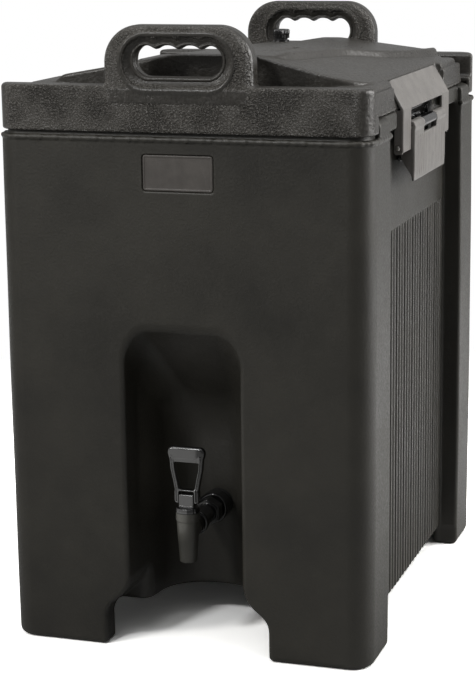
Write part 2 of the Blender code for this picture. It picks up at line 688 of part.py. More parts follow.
def latch(tag, side):
    """One over-centre latch. side is +1 for the right, -1 for the left."""
    pivot, toggle = mirror(side, (PIVOT, TOGGLE))
    latch_base(tag, side, pivot)
    lever = latch_lever(tag, side, pivot, toggle)
    bail = latch_bail(tag, side, toggle)
    latch_pin("lever_pin_" + tag, pivot, LEVER_Y - 0.2)
    bail_pin = latch_pin("bail_pin_" + tag, toggle, BAIL_Y + 1.6)
    latch_screws(tag, side)
    hang("lever_axis_" + tag, (pivot[0], 0, pivot[1]), [lever, bail_pin])
    hang("bail_axis_" + tag, (toggle[0], 0, toggle[1]), [bail])


for side_tag, side_sign in SIDES:
    latch(side_tag, side_sign)


# ------------------------------------------------------------------- spigot
TAP = (0, TAP_Y)               # the spout's vertical axis
# Turned profiles: radius, z.
SPOUT = [(0, 154.0), (12.5, 154.0), (12.5, 146.0), (12.2, 132.0), (9.6, 100.0), (0, 100.0)]
CHAMBER = [(0, 156), (9.3, 156), (9.3, 116), (6.6, 110), (6.6, 98), (0, 98)]
BONNET = [(3.2, 160.8), (8.6, 160.8), (12.2, 159.0), (12.8, 156.5), (12.8, 154.3),
          (9.0, 154.3), (9.0, 148.0), (3.2, 148.0)]
SEAT_CUP = [(0, 121.2), (2.7, 121.2), (2.7, 125.0), (7.0, 125.0), (8.8, 119.5),
            (7.6, 113.6), (0, 113.6)]
# Handle outlines: x, z, with a radius for each corner.
TAP_HANDLE = [(-12.6, 163.6), (12.6, 163.6), (16.0, 180), (20.5, 208), (21.5, 212),
              (21.5, 225), (-21.5, 225), (-21.5, 212), (-20.5, 208), (-16.0, 180)]
TAP_HANDLE_R = [3, 3, 6, 2, 2, 5, 5, 2, 2, 6]
TAP_WINDOW = [(-8.6, 150), (8.6, 150), (11.4, 181), (15.4, 208), (-15.4, 208), (-11.4, 181)]
TAP_WINDOW_R = [0, 0, 4, 3, 3, 4]
# Valve spring.
COIL_TURNS, COIL_STEPS = 4, 10
COIL_LOW, COIL_HIGH = 126.6, 146.4
COIL_R, WIRE_R = 5.0, 0.6


def spigot_body():
    """Shank, flange and a tapered spout in one moulding."""
    body = turned("spigot_body", SPOUT, TAP, 24)
    join(body, rod("shank", SHANK_R, "Y", (0, SHANK_Z), TAP_Y, -74, sides=20))
    join(body, rod("flange", 17.0, "Y", (0, SHANK_Z), -168, -150, sides=24))
    cut(body, turned("chamber", CHAMBER, TAP, 20))
    cut(body, rod("shank_bore", 6.5, "Y", (0, SHANK_Z), TAP_Y, -70))
    paint(body, SPOUT_GREY)


def spigot_bonnet():
    """Cap of the spout, with two ears for the handle's pin."""
    bonnet = turned("spigot_bonnet", BONNET, TAP, 24)
    ear = round_outline([(TAP_Y - 5, 157), (TAP_Y + 5, 157), (TAP_Y + 5, 173),
                         (TAP_Y - 5, 173)], [0, 0, 4.5, 4.5], 3)
    for end in (-1, 1):
        join(bonnet, prism(f"bonnet_ear_{end}", ear, "X", *span(end, 5.2, 8.2)))
    cut(bonnet, handle_bar("ear_bore", HANDLE_BORE_R, 20))
    paint(bonnet, GLOSS_BLACK)


def handle_bar(name, radius, reach):
    """A bar along the handle's axis."""
    return rod(name, radius, "X", (TAP_Y, HANDLE_PIN_Z), -reach, reach, sides=10)


def spigot_handle():
    handle = prism("spigot_handle", round_outline(TAP_HANDLE, TAP_HANDLE_R, 2), "Y",
                   TAP_Y - 4.2, TAP_Y + 4.2)
    cut(handle, prism("handle_window", round_outline(TAP_WINDOW, TAP_WINDOW_R, 2), "Y",
                      TAP_Y - 20, TAP_Y + 20))
    cut(handle, handle_bar("handle_bore", HANDLE_BORE_R, 30))
    paint(handle, GLOSS_BLACK)
    hang("spigot_handle_axis", (0, TAP_Y, HANDLE_PIN_Z), [handle])


def valve():
    """Stem and seat cup, which move together."""
    stem = rod("valve_stem", 2.4, "Z", TAP, STEM_BOTTOM, 160.9, sides=12)
    paint(stem, STEEL)
    cup = turned("seat_cup", SEAT_CUP, TAP, 16)
    paint(cup, SILICONE)
    hang("valve_axis", (0, TAP_Y, STEM_BOTTOM), [stem, cup])


def valve_spring():
    """Compression spring round the valve stem, above the seat cup."""
    curve = bpy.data.curves.new("valve_spring", "CURVE")
    curve.dimensions = "3D"
    curve.bevel_depth = WIRE_R * MM
    curve.bevel_resolution = 1
    curve.use_fill_caps = True
    line = curve.splines.new("POLY")
    last = COIL_TURNS * COIL_STEPS
    line.points.add(last)
    for i, point in enumerate(line.points):
        turn = 2 * math.pi * i / COIL_STEPS
        point.co = (COIL_R * math.cos(turn) * MM, (TAP_Y + COIL_R * math.sin(turn)) * MM,
                    (COIL_LOW + (COIL_HIGH - COIL_LOW) * i / last) * MM, 1)
    mesh = curve_mesh("valve_spring", curve, Matrix.Identity(4))
    paint(place("valve_spring", mesh), STEEL)


def disc(radius, steps):
    """A nearly round outline."""
    return rect(radius, radius, radius - 0.1, steps)


def shank_washer(name, radius, low, high):
    washer = prism(name, disc(radius, 6), "Y", low, high, hole=disc(11.5, 5))
    washer.location.z = SHANK_Z * MM
    paint(washer, RUBBER)


def shank_nut():
    nut = rod("shank_nut", 17.5, "Y", (0, SHANK_Z), -99.2, -88.0, sides=6)
    cut(nut, rod("nut_bore", 11.5, "Y", (0, SHANK_Z), -110, -80, sides=20))
    paint(nut, GLOSS_BLACK)


spigot_body()
spigot_bonnet()
paint(handle_bar("handle_pin", HANDLE_PIN_R, 12.6), STEEL)
spigot_handle()
valve()
valve_spring()
shank_washer("shank_washer_outer", 16, -149.7, -143.5)
shank_washer("shank_washer_inner", 15, -102.6, -99.6)
shank_nut()
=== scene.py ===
"""Looks of an insulated beverage dispenser: body, lid with two handles, side latches, tap.

It stands on z = 0, centred on the Z axis. +X is its right side, -Y its front (tap and
alcove). Pieces are distance fields in millimetres, negative inside, meshed in metres."""
import json
import math
from itertools import product

import bmesh
import bpy
import numpy as np
from mathutils import Matrix, Vector


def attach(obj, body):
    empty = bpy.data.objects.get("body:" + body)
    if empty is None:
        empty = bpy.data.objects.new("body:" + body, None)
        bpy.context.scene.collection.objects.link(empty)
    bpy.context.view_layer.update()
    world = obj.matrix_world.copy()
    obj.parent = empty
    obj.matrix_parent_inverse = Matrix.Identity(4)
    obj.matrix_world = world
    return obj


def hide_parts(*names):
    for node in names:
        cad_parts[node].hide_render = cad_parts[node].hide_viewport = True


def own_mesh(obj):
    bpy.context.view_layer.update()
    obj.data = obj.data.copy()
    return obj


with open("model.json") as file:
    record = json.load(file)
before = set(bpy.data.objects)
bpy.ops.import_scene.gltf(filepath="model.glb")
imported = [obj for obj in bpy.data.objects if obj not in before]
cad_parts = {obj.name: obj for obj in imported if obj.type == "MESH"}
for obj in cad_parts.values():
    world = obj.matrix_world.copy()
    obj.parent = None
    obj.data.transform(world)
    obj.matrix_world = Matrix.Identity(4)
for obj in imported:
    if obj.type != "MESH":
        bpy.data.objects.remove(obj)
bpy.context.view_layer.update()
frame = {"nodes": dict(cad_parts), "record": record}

MILLIMETRE = 0.001

# Sizes shared by several pieces, mm
HALF_W, HALF_D, CORNER = 200.0, 260.0, 25      # outside of the body
RIB_PITCH = 342.0 / 27                         # ribs along each side wall
RIM_TOP = 566                                  # top of the body and its liner
TANK_HALF_W, TANK_HALF_D, TANK_FLOOR = 130, 205, 112
TANK_STEP_Y = -103                             # the tank's lower front, behind the alcove
TAP_Y, TAP_Z = -247.0, 134                     # spout axis, and height of the shank axis
HINGE_Z, HINGE_HOLE_R = 168, 1.75              # cross hole through the tap's yoke and handle
LABEL_Z = 512.8
VENT_X, VENT_Y = -19.0, 168.0
PIVOT, TOGGLE = (196.5, 545.0), (192.0, 525.7)  # (x, z) of the right latch's two pins
PIN_R, PIN_HOLE_R = 2.45, 2.75
SCREW_Y, SCREW_ROWS = 48, (515, 542)           # latch base screws: +-y, and z of the rows


# ------------------------------------------------------------ distance fields
# The last argument of both, either and less rounds the edge where the shapes meet.
def length(*parts):
    total = 0
    for part in parts:
        total = total + part * part
    return np.sqrt(total)


def both(first, second, radius=0.0):
    """Inside both shapes."""
    if radius <= 0:
        return np.maximum(first, second)
    return (np.minimum(np.maximum(first, second), -radius)
            + length(np.maximum(first + radius, 0), np.maximum(second + radius, 0)))


def either(first, second, radius=0.0):
    """Inside either shape."""
    if radius <= 0:
        return np.minimum(first, second)
    return (np.maximum(np.minimum(first, second), radius)
            - length(np.maximum(radius - first, 0), np.maximum(radius - second, 0)))


def less(first, second, radius=0.0):
    """Inside the first shape and outside the second."""
    return both(first, -second, radius)


def slab(value, low, high):
    return np.abs(value - (low + high) / 2) - (high - low) / 2


def rect(across, up, half_across, half_up, radius, mid_across=0.0, mid_up=0.0):
    """Rounded rectangle in a plane."""
    over_across = np.abs(across - mid_across) - half_across + radius
    over_up = np.abs(up - mid_up) - half_up + radius
    return (length(np.maximum(over_across, 0), np.maximum(over_up, 0))
            + np.minimum(np.maximum(over_across, over_up), 0) - radius)


def segment(across, up, start, end):
    """Distance to a line segment in a plane."""
    run, rise = end[0] - start[0], end[1] - start[1]
    share = ((across - start[0]) * run + (up - start[1]) * rise) / (run * run + rise * rise)
    share = np.clip(share, 0, 1)
    return length(across - start[0] - share * run, up - start[1] - share * rise)


def polygon(across, up, points):
    """Signed distance to a closed polygon in a plane."""
    nearest, sign = None, 1.0
    for i, (start_across, start_up) in enumerate(points):
        end_across, end_up = points[i - 1]
        run, rise = end_across - start_across, end_up - start_up
        from_across, from_up = across - start_across, up - start_up
        share = np.clip((from_across * run + from_up * rise) / (run * run + rise * rise), 0, 1)
        square = (from_across - run * share) ** 2 + (from_up - rise * share) ** 2
        nearest = square if nearest is None else np.minimum(nearest, square)
        above, below = up >= start_up, up < end_up
        left = run * from_up > rise * from_across
        flip = (above & below & left) | (~above & ~below & ~left)
        sign = np.where(flip, -sign, sign)
    return sign * np.sqrt(nearest)


def smooth(value, start, end):
    """Eased step from 0 to 1."""
    share = np.clip((value - start) / (end - start), 0, 1)
    return share * share * (3 - 2 * share)


def bell(offset, width):
    return np.exp(-(offset / width) ** 2)


def ripple(across, up, seed, scale):
    """Slow, seeded unevenness of a moulded surface, about -1 to 1."""
    rng = np.random.default_rng(seed)
    total = 0
    for _ in range(6):
        rate_across, rate_up = rng.normal(size=2) / scale
        total = total + np.sin(rate_across * across + rate_up * up + rng.uniform(0, 6.28))
    return total / 3.2


# -------------------------------------------------------------------- meshing
def along(axis, part):
    """Index of a 3D grid that takes part of one axis and all of the others."""
    index = [slice(None)] * 3
    index[axis] = part
    return tuple(index)


def surface_net(field, low, high, spacing):
    """One vertex for each grid cell the surface crosses, joined into quads."""
    low, high = np.array(low, float) - 2.5 * spacing, np.array(high, float) + 2.5 * spacing
    size = np.ceil((high - low) / spacing).astype(int) + 1
    axes = [(low[i] + spacing * np.arange(size[i])).astype(np.float32) for i in range(3)]
    values = np.broadcast_to(field(*np.ix_(*axes)), size).astype(np.float32)
    inside = values < 0
    for axis in range(3):
        inside[along(axis, 0)] = False
        inside[along(axis, -1)] = False
    corners = list(product((0, 1), repeat=3))
    count = np.zeros(size - 1, np.uint8)
    for i, j, k in corners:
        count += inside[i:size[0] - 1 + i, j:size[1] - 1 + j, k:size[2] - 1 + k]
    cells = np.argwhere((count > 0) & (count < 8))
    index = np.full(size - 1, -1, np.int32)
    index[tuple(cells.T)] = np.arange(len(cells))

    # each vertex is the mean of the crossings on its cell's twelve edges
    at_corner = {corner: values[tuple((cells + corner).T)] for corner in corners}
    points, hits = np.zeros((len(cells), 3)), np.zeros(len(cells))
    for start in corners:
        for axis in range(3):
            if start[axis]:
                continue
            end = tuple(1 if i == axis else start[i] for i in range(3))
            before, after = at_corner[start], at_corner[end]
            cross = (before < 0) != (after < 0)
            share = np.where(cross, before / np.where(cross, before - after, 1), 0)
            place = np.array(start) + share[:, None] * np.eye(3)[axis]
            points += np.where(cross[:, None], place, 0)
            hits += cross
    points = low + spacing * (cells + points / np.maximum(hits, 1)[:, None])

    quads = []
    for axis in range(3):
        before, after = inside[along(axis, slice(0, -1))], inside[along(axis, slice(1, None))]
        for edges, turn in ((np.argwhere(before & ~after), 1), (np.argwhere(~before & after), -1)):
            ring = []
            for shift in ((-1, -1), (0, -1), (0, 0), (-1, 0)):
                cell = edges.copy()
                cell[:, (axis + 1) % 3] += shift[0]
                cell[:, (axis + 2) % 3] += shift[1]
                ring.append(index[tuple(cell.T)])
            quads.append(np.stack(ring[::turn], 1))
    quads = np.concatenate(quads)
    return points, quads[(quads >= 0).all(1)]


def sample(field, points):
    return field(*(points[:, axis].astype(np.float32) for axis in range(3))).astype(float)


def slope(field, points, reach):
    out = np.zeros_like(points)
    for axis in range(3):
        step = reach * np.eye(3)[axis]
        out[:, axis] = (sample(field, points + step) - sample(field, points - step)) / (2 * reach)
    return out


def settle(field, points, spacing, passes):
    """Moves the points onto the surface, at most 0.7 of a cell each pass."""
    for _ in range(passes):
        gradient = slope(field, points, 0.15)
        steepness = np.maximum((gradient * gradient).sum(1), 0.05)
        move = -(sample(field, points) / steepness)[:, None] * gradient
        far = np.linalg.norm(move, axis=1)
        move *= np.minimum(1, 0.7 * spacing / np.maximum(far, 1e-9))[:, None]
        points = points + move
    return points


def new_object(name, data):
    obj = bpy.data.objects.new(name, data)
    bpy.context.scene.collection.objects.link(obj)
    return obj


def mesh_field(name, field, low, high, spacing, max_faces, passes):
    """Meshes a field, thins it to max_faces triangles, takes normals from the field."""
    points, quads = surface_net(field, low, high, spacing)
    points = settle(field, points, spacing, passes)
    mesh = bpy.data.meshes.new(name)
    mesh.vertices.add(len(points))
    mesh.vertices.foreach_set("co", (points * MILLIMETRE).ravel())
    mesh.loops.add(quads.size)
    mesh.loops.foreach_set("vertex_index", quads.ravel().astype(np.int32))
    mesh.polygons.add(len(quads))
    mesh.polygons.foreach_set("loop_start", np.arange(len(quads), dtype=np.int32) * 4)
    mesh.update(calc_edges=True)
    obj = new_object(name, mesh)
    triangles = 2 * len(quads)
    if triangles > max_faces:
        thin = obj.modifiers.new("thin", "DECIMATE")
        thin.ratio = max_faces / triangles
        view = bpy.context.evaluated_depsgraph_get()
        slim = bpy.data.meshes.new_from_object(obj.evaluated_get(view))
        obj.modifiers.clear()
        obj.data = slim
        bpy.data.meshes.remove(mesh)
        mesh = slim
        mesh.name = name
    mesh.shade_smooth()
    places = np.zeros(len(mesh.vertices) * 3)
    mesh.vertices.foreach_get("co", places)
    normals = slope(field, places.reshape(-1, 3) / MILLIMETRE, 0.3)
    normals /= np.maximum(np.linalg.norm(normals, axis=1), 1e-9)[:, None]
    mesh.normals_split_custom_set_from_vertices(normals.tolist())
    return obj


def register(obj, body, replaces, slot):
    """Tells the frame what the piece rides on and stands for, and gives it its material."""
    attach(obj, body)
    if replaces:
        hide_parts(replaces)
    obj.data.materials.clear()
    obj.data.materials.append(MATERIALS[slot])


def add(name, field, low, high, spacing, body, slot, max_faces, replaces=None,
        passes=3, quick_factor=1.7):
    spacing *= 1.0
    piece = mesh_field(name + "_skin", field, low, high, spacing, max_faces, passes)
    register(piece, body, replaces, slot)


# ------------------------------------------------------------------- the body
def alcove_field(x, y, z):
    """Recess for the tap: narrows to the rear, under a roof that slopes down."""
    depth = y + HALF_D
    sides = (np.abs(x) - (63.5 - 0.1410 * depth)) * 0.990
    roof = (z - (350.5 - 0.957 * depth)) * 0.7225
    return both(both(sides, y + 143.0, 38), roof, 27)


def foot_gap_field(x, z):
    """Gap between the front feet: straight legs, then a slope up to the alcove."""
    abs_x = np.abs(x)
    ramp = (abs_x - 71) * 0.637 + (z - 58.7) * 0.771
    return both(ramp, abs_x - 91, 7)


def tank_field(x, y, z, grow=0.0):
    """Inside of the tank; its front slants back below z = 255 or so."""
    slant = (y - TANK_STEP_Y) * -0.693 + (z - 255) * -0.721 - grow
    upper = both(-TANK_HALF_D - grow - y, slant, 22)
    front = either(TANK_STEP_Y - grow - y, upper, 24)
    shape = both(both(front, y - TANK_HALF_D - grow, 20), TANK_FLOOR - grow - z, 16)
    return both(shape, np.abs(x) - TANK_HALF_W - grow, 20)


def body_block(x, y, z, plan):
    """Solid outside of the body, with its rim."""
    swell = 0.9 * np.sin(np.clip(z, 0, 550) * (math.pi / 550))
    wall = plan - (swell + 0.35 * ripple(x + 0.6 * y, z, 3, 90))
    shape = both(wall, slab(z, 0, 548.8), 7)
    rim = both(rect(x, y, 194.4, 254.4, 20), slab(z, 500, RIM_TOP), 5)
    shape = either(shape, rim, 1.5)
    # four raised shoulders near the corners
    abs_y = np.abs(y)
    shoulder = both(both(wall, z - 565.4, 6), both(177.5 - abs_y, abs_y - 220.6, 3), 3)
    return np.minimum(shape, np.maximum(shoulder, 535 - z))


def cut_sides(shape, x, y, z):
    """Ribbed recess in each side wall, under the rim and between the corner columns."""
    abs_x, abs_y = np.abs(x), np.abs(y)
    ribbed = (1 - smooth(z, 430, 435)) * (1 - smooth(abs_y, 170, 174))
    wave = np.cos(y * (2 * math.pi / RIB_PITCH))
    groove = 3.2 * (1 - smooth(wave, -0.85, 0.05)) * ribbed
    recess = both(both((178.6 - groove - abs_x) * 0.93, abs_y - 177, 2.5), z - 547.6, 3)
    shape = less(shape, recess, 3.5)
    shape = less(shape, both(both(194.3 - abs_x, abs_y - 176.5, 2), 535 - z, 2), 2.5)
    shape = less(shape, both(both(178.8 - abs_x, abs_y - 122.2, 4), 530 - z, 2), 2)
    low_edge = z - 23.5 + 2.0 * wave * (1 - smooth(abs_y, 166, 172))
    return less(shape, both(abs_y - 177, low_edge, 6), 4)


def add_seam_bead(shape, x, y, z, plan):
    """Slightly uneven bead round the top, ending where the side recesses start."""
    run = x * 0.31 + y * 0.27
    radius = (2.8 + 0.30 * np.sin(run) + 0.25 * np.sin(run * 0.37 + 1.0)
              + 0.2 * np.sin(run * 2.3))
    bead = both(length(plan + 0.9, z - 546.4) - radius, 175.0 - np.abs(y), 1.5)
    return either(shape, bead, 1.2)


def cut_base(shape, x, y, z):
    """Underside, gaps between the feet, and the alcove."""
    abs_x, abs_y = np.abs(x), np.abs(y)
    shape = less(shape, both(both(abs_x - 170, abs_y - 230, 14), z - 38, 7), 4)
    front_gap = both(foot_gap_field(x, z), y + 214, 4)
    shape = less(shape, either(alcove_field(x, y, z), front_gap, 12), 5)
    taper = np.maximum(z - 22, 0) * 0.6
    rear_gap = both(both(abs_x - 91 + taper, z - 32, 9), 214 - y, 4)
    return less(shape, rear_gap, 4.5)


def body_field(x, y, z):
    plan = rect(x, y, HALF_W, HALF_D, CORNER)
    shape = cut_sides(body_block(x, y, z, plan), x, y, z)
    shape = add_seam_bead(shape, x, y, z, plan)
    shape = cut_base(shape, x, y, z)
    # room for the tank liner and its lip
    shape = less(shape, tank_field(x, y, z, 5.3), 1.5)
    shape = less(shape, both(rect(x, y, 140.3, 215.3, 10), 562.7 - z), 0.8)
    # hole for the tap's shank, recess for the label
    shank = both(length(x, z - TAP_Z) - 11.6, slab(y, -170, -90))
    shape = less(shape, shank, 1)
    label = rect(x, z, 38.1, 18.9, 3.5, 0, LABEL_Z)
    return less(shape, np.maximum(label, y + 258.2), 0.9)


def liner_field(x, y, z):
    outer = both(tank_field(x, y, z, 5.0), z - RIM_TOP)
    lip = both(rect(x, y, 140, 215, 9.7), slab(z, 563, RIM_TOP), 0.8)
    shape = less(np.minimum(outer, lip), tank_field(x, y, z), 1.5)
    return less(shape, both(length(x, z - TAP_Z) - 11.5, slab(y, -120, -90)))


def make_body():
    add("body_shell", body_field, (-203, -263, 0), (203, 263, RIM_TOP), 2.0, "body",
        "body_plastic", 190_000, "body_shell", passes=2, quick_factor=2)
    add("tank_liner", liner_field, (-141, -216, 106), (141, 216, RIM_TOP), 2.5, "body",
        "body_plastic", 20_000, "tank_liner", passes=2, quick_factor=2)


# -------------------------------------------------------------------- the lid
# (x, z) of the lid's raised middle at the front and at the back
FRONT_EDGE = [(-200, 592), (-178, 596), (-158, 597.5), (-147, 605.5), (-98, 614), (-20, 628.6),
              (64, 628.6), (230, 606)]
BACK_EDGE = [(-200, 590), (-178, 595), (-60, 603), (-40, 612), (-33, 615), (9, 615), (22, 619.5),
             (46, 619.5), (148, 607), (230, 597)]
# (y, x) of the step down to the sloping floor on the right
STEP_LINE = [(-230, 62), (-205, 68), (-185, 82), (-167, 89), (-120, 95), (-25, 110), (44, 138),
             (110, 155), (166, 164), (230, 172)]
# (offset in units of softness, weight) of the averaging along those lines
BLUR = ((-1, 0.1), (-0.5, 0.2), (0, 0.4), (0.5, 0.2), (1, 0.1))


def smooth_line(value, table, softness=5.0):
    stations, levels = np.array(table, float).T
    return sum(np.interp(value + offset * softness, stations, levels) * weight
               for offset, weight in BLUR)


def step_floor(x):
    """Height of the sloping floor right of the step."""
    return 626.0 - 0.256 * (x - 73)


def lid_top(x, y):
    """Height of the raised middle of the lid."""
    share = np.clip((y + 205) / 410, 0, 1)
    raised = smooth_line(x, FRONT_EDGE) * (1 - share) + smooth_line(x, BACK_EDGE) * share
    edge = smooth_line(y, STEP_LINE, 12.0)
    lift = 5.2 * smooth(y, -212, -150) + 0.6 * smooth(y, 0, 200)
    raised = np.where(x > 20, np.maximum(raised, step_floor(edge) + lift), raised)
    beyond = smooth(x - edge, -2.4, 1.6)
    top = raised * (1 - beyond) + step_floor(x) * beyond
    # rounded lip along the step, and a crease at its foot
    strong = smooth(y, -200, -150) * (x > 20)
    top = top + strong * (1.5 * bell(x - edge + 5.5, 2.8) - 2.2 * bell(x - edge - 3.4, 2.1))
    # short groove moulded into the ridge, with a low bead on its left
    groove = segment(x, y, (59.5, -124), (58.5, -34))
    ends = smooth(y, -135, -120) * (1 - smooth(y, -38, -24))
    return top - 3.0 * bell(groove, 3.6) + 1.0 * bell(x - 51, 4.0) * ends


def grip_field(x, y, z, outer):
    """One handle; outer is the y of its outer face."""
    front = outer < 0
    side = -1.0 if front else 1.0
    off = np.abs((y - (outer - side * 14.0)) * side)     # distance from its middle plane
    plan = rect(x, z, 79 if front else 81.5, 80, 38, 0 if front else -2.5, 580.6)
    plate = both(plan, off - 13.4, 8.5)
    # finger scallops along the top of a round-ended hole flaring out to a raised ring
    finger = 5.2 * (np.sqrt(np.sin(x * (math.pi / 24.0)) ** 2 + 0.03) - 0.17)
    top = 636.2 + finger * (1 - smooth(np.abs(x), 40.0, 48.0))
    hole = both(rect(x, z, 46.5, 16.2, 16.0, 0, 625.3), (z - top) * 0.9, 3.0)
    ring = rect(x, z, 60.0, 28.5, 28.3, 0, 623.5)
    bead = length(ring, off - 12.4) - 2.9
    dish = both(hole - 13.0 * smooth(off, 3.0, 13.2), ring + 2.4, 0.8)
    shape = less(either(plate, bead, 0.8), dish, 0.8)
    lip = length(hole - 2.6, off - 6.4) - 1.9
    return either(shape, lip, 0.5)


def lid_block(x, y, z):
    """Skirt, deck and raised middle."""
    abs_x, abs_y = np.abs(x), np.abs(y)
    plan = rect(x, y, HALF_W - 0.3, HALF_D - 0.3, CORNER)
    swell = 0.35 * ripple(x + 0.8 * y, z, 5, 70)
    skirt = both(both(plan - swell, z - 600, 4.5), 553 - z, 2.2)
    # the end walls stay outside this cut; inward of them the skirt drops to a trough
    skirt = less(skirt, both(572.5 - z, abs_y - 231.5, 5), 4.5)
    deck = both(rect(x, y, 187.0, 205.5, 11), slab(z, 560, 597.0), 4.5)
    block = both(both(rect(x, y, 191.3, 214.5, 6), slab(z, 560, 590.5), 3.5), 178 - abs_x, 2)
    deck = np.minimum(deck, block)
    height = np.maximum((z - lid_top(x, y)) * 0.968, 560 - z)
    plateau = both(rect(x, y, 179.5, 205.3, 46), height, 3.2)
    return either(skirt, either(deck, plateau, 1.5), 4.0)


def cut_latch_notches(shape, x, y, z):
    """The long sides are cut back for the latches, with a bead along the rim."""
    abs_x, abs_y = np.abs(x), np.abs(y)
    shape = less(shape, both(191.2 - abs_x, abs_y - 221.5, 4), 3)
    corner = both(both(184.5 - abs_x, slab(abs_y, 214.7, 221.4), 2), z - 598, 1)
    shape = less(shape, corner, 1.5)
    rim = length(rect(x, y, 191.3, 205.5, 13) + 0.2, z - 568.4) - 1.9 - 0.3 * np.sin(y * 0.37)
    extent = np.maximum(np.maximum(122.5 - abs_y, 150 - abs_x), abs_y - 214)
    return either(shape, both(rim, extent, 1), 0.8)


def cut_lid_underside(shape, x, y, z):
    """Plug in the tank mouth, pocket over the body rim, gasket groove."""
    plug = rect(x, y, 127, 202, 18)
    shape = either(shape, both(plug, slab(z, 545, 575), 3))
    pocket = both(-plug, z - 566.6, 1.0)
    shape = less(shape, np.maximum(pocket, rect(x, y, 195, 255, 20.5)), 0.8)
    side_pocket = both(170 - np.abs(x), np.abs(y) - 220)
    shape = less(shape, np.maximum(side_pocket, z - 566.6), 1.0)
    groove = np.maximum(rect(x, y, 143, 218, 18), -rect(x, y, 134, 209, 12))
    return less(shape, np.maximum(groove, slab(z, 560, 570)), 0.5)


def lid_field(x, y, z):
    shape = cut_latch_notches(lid_block(x, y, z), x, y, z)
    for outer in (-HALF_D + 0.05, HALF_D - 0.05):
        grip = np.maximum(grip_field(x, y, z, outer), 585 - z)
        shape = either(shape, grip, 4.0)
    shape = cut_lid_underside(shape, x, y, z)
    # seats for the bails, vent hole, fill hole
    abs_x = np.abs(x)
    chamfer = -0.8742 * (abs_x - 174.5) - 0.4856 * (z - 600.5)
    seat = both(both(178.6 - abs_x, chamfer, 2), np.abs(y) - 121, 5)
    shape = less(shape, seat, 2.5)
    shape = less(shape, length(x - VENT_X, y - VENT_Y) - 6.4, 0.8)
    return less(shape, np.maximum(length(x, y) - 11, z - 556), 0.5)


# The handles are meshed finer than the rest, from the same field; the parts overlap a little.
def lid_main_field(x, y, z):
    return np.maximum(lid_field(x, y, z), np.minimum(z - 606, np.abs(y) - 226))


def front_handle_field(x, y, z):
    return np.maximum(np.maximum(lid_field(x, y, z), 604.5 - z), y + 228)


def rear_handle_field(x, y, z):
    return np.maximum(np.maximum(lid_field(x, y, z), 604.5 - z), 228 - y)


FOAM_OUTLINE = [(-118.4, 551.6), (118.4, 551.6), (118.4, 602), (61.5, 618), (-18, 618),
                (-118.4, 602)]     # (x, z)


def lid_foam_field(x, y, z):
    shape = both(polygon(x, z, FOAM_OUTLINE), np.abs(y) - 191.4, 2)
    shape = both(shape, z - lid_top(x, y) + 5.0, 1)
    shape = less(shape, both(both(x - 19.6, -42.6 - y), 611.0 - z), 0.5)
    return less(shape, length(x - VENT_X, y - VENT_Y) - 14.6)


def make_lid():
    add("lid_shell", lid_main_field, (-201, -261, 544), (201, 261, 632), 1.5, "lid",
        "lid_plastic", 160_000, "lid_shell")
    add("lid_front_handle", front_handle_field, (-83, -263, 604), (83, -225, 662), 0.95, "lid",
        "lid_plastic", 70_000)
    add("lid_rear_handle", rear_handle_field, (-86, 225, 604), (83, 263, 662), 0.95, "lid",
        "lid_plastic", 60_000)
    add("lid_foam", lid_foam_field, (-119, -192, 551), (119, 192, 619), 3.0, "lid",
        "foam", 12_000, "lid_foam")


# ---------------------------------------------------------------- the latches
# Fields are for the right latch; the left one mirrors x. Outlines are (x, z).
LEVER_OUTLINE = [(198.4, 487), (201.2, 487), (201.8, 500), (201.8, 540), (202.5, 545),
                 (200.8, 549.3), (196.5, 551), (192.2, 549.3), (190.5, 545), (192.2, 540.7),
                 (198.2, 538)]
EAR_OUTLINE = [(200, 489), (200, 544), (193, 544), (186.5, 532), (185, 520), (187, 510)]
BAIL_OUTLINE = [(181, 596), (179.6, 592.9), (192.6, 568.8), (194.8, 565), (194.8, 521),
                (198, 521), (198, 566), (195.6, 570)]
FLANGE_OUTLINE = [(196.5, 519), (196.5, 565), (188.5, 565), (187.5, 521), (189, 519)]
# (y, depth, width) of the shallow upright folds in the lever's face
FOLDS = [(-67, 0.45, 1.6), (-59.5, 0.75, 1.7), (-51, 0.95, 2.0), (-42, 0.8, 1.9),
         (-33, 0.6, 2.1), (-23, 0.35, 2.4), (-9, 0.32, 3.0), (7, 0.25, 3.4), (24, 0.28, 3.6),
         (41, 0.22, 3.2), (56, 0.30, 3.2), (67, 0.35, 2.4)]


def around(x, z, axis):
    """Distance from a pin's axis."""
    return length(x - axis[0], z - axis[1])


def lever_field(x, y, z):
    abs_y = np.abs(y)
    folds = 0
    for place, depth, width in FOLDS:
        folds = folds + depth * bell(y - place - 0.03 * (z - 510), width)
    folds = folds * smooth(z, 488, 496) * (1 - smooth(z, 531, 537))
    plate = both(polygon(x + folds, z, LEVER_OUTLINE) * 0.95, abs_y - 75.5, 1.0)
    # rolled top edge
    barrel = both(around(x, z, PIVOT) - 6.0, abs_y - 75.5, 1.2)
    shape = either(plate, barrel, 1.2)
    ears = both(polygon(x, z, EAR_OUTLINE), 70.3 - abs_y, 0.8)
    shape = either(shape, np.maximum(ears, abs_y - 75.4), 1.0)
    knuckle_gap = both(rect(y, z, 31, 12.7, 1.5, 0, 547.5), np.abs(x - 197) - 20)
    shape = less(shape, knuckle_gap, 0.6)
    shape = less(shape, around(x, z, PIVOT) - PIN_HOLE_R, 0.3)
    return less(shape, around(x, z, TOGGLE) - PIN_HOLE_R, 0.3)


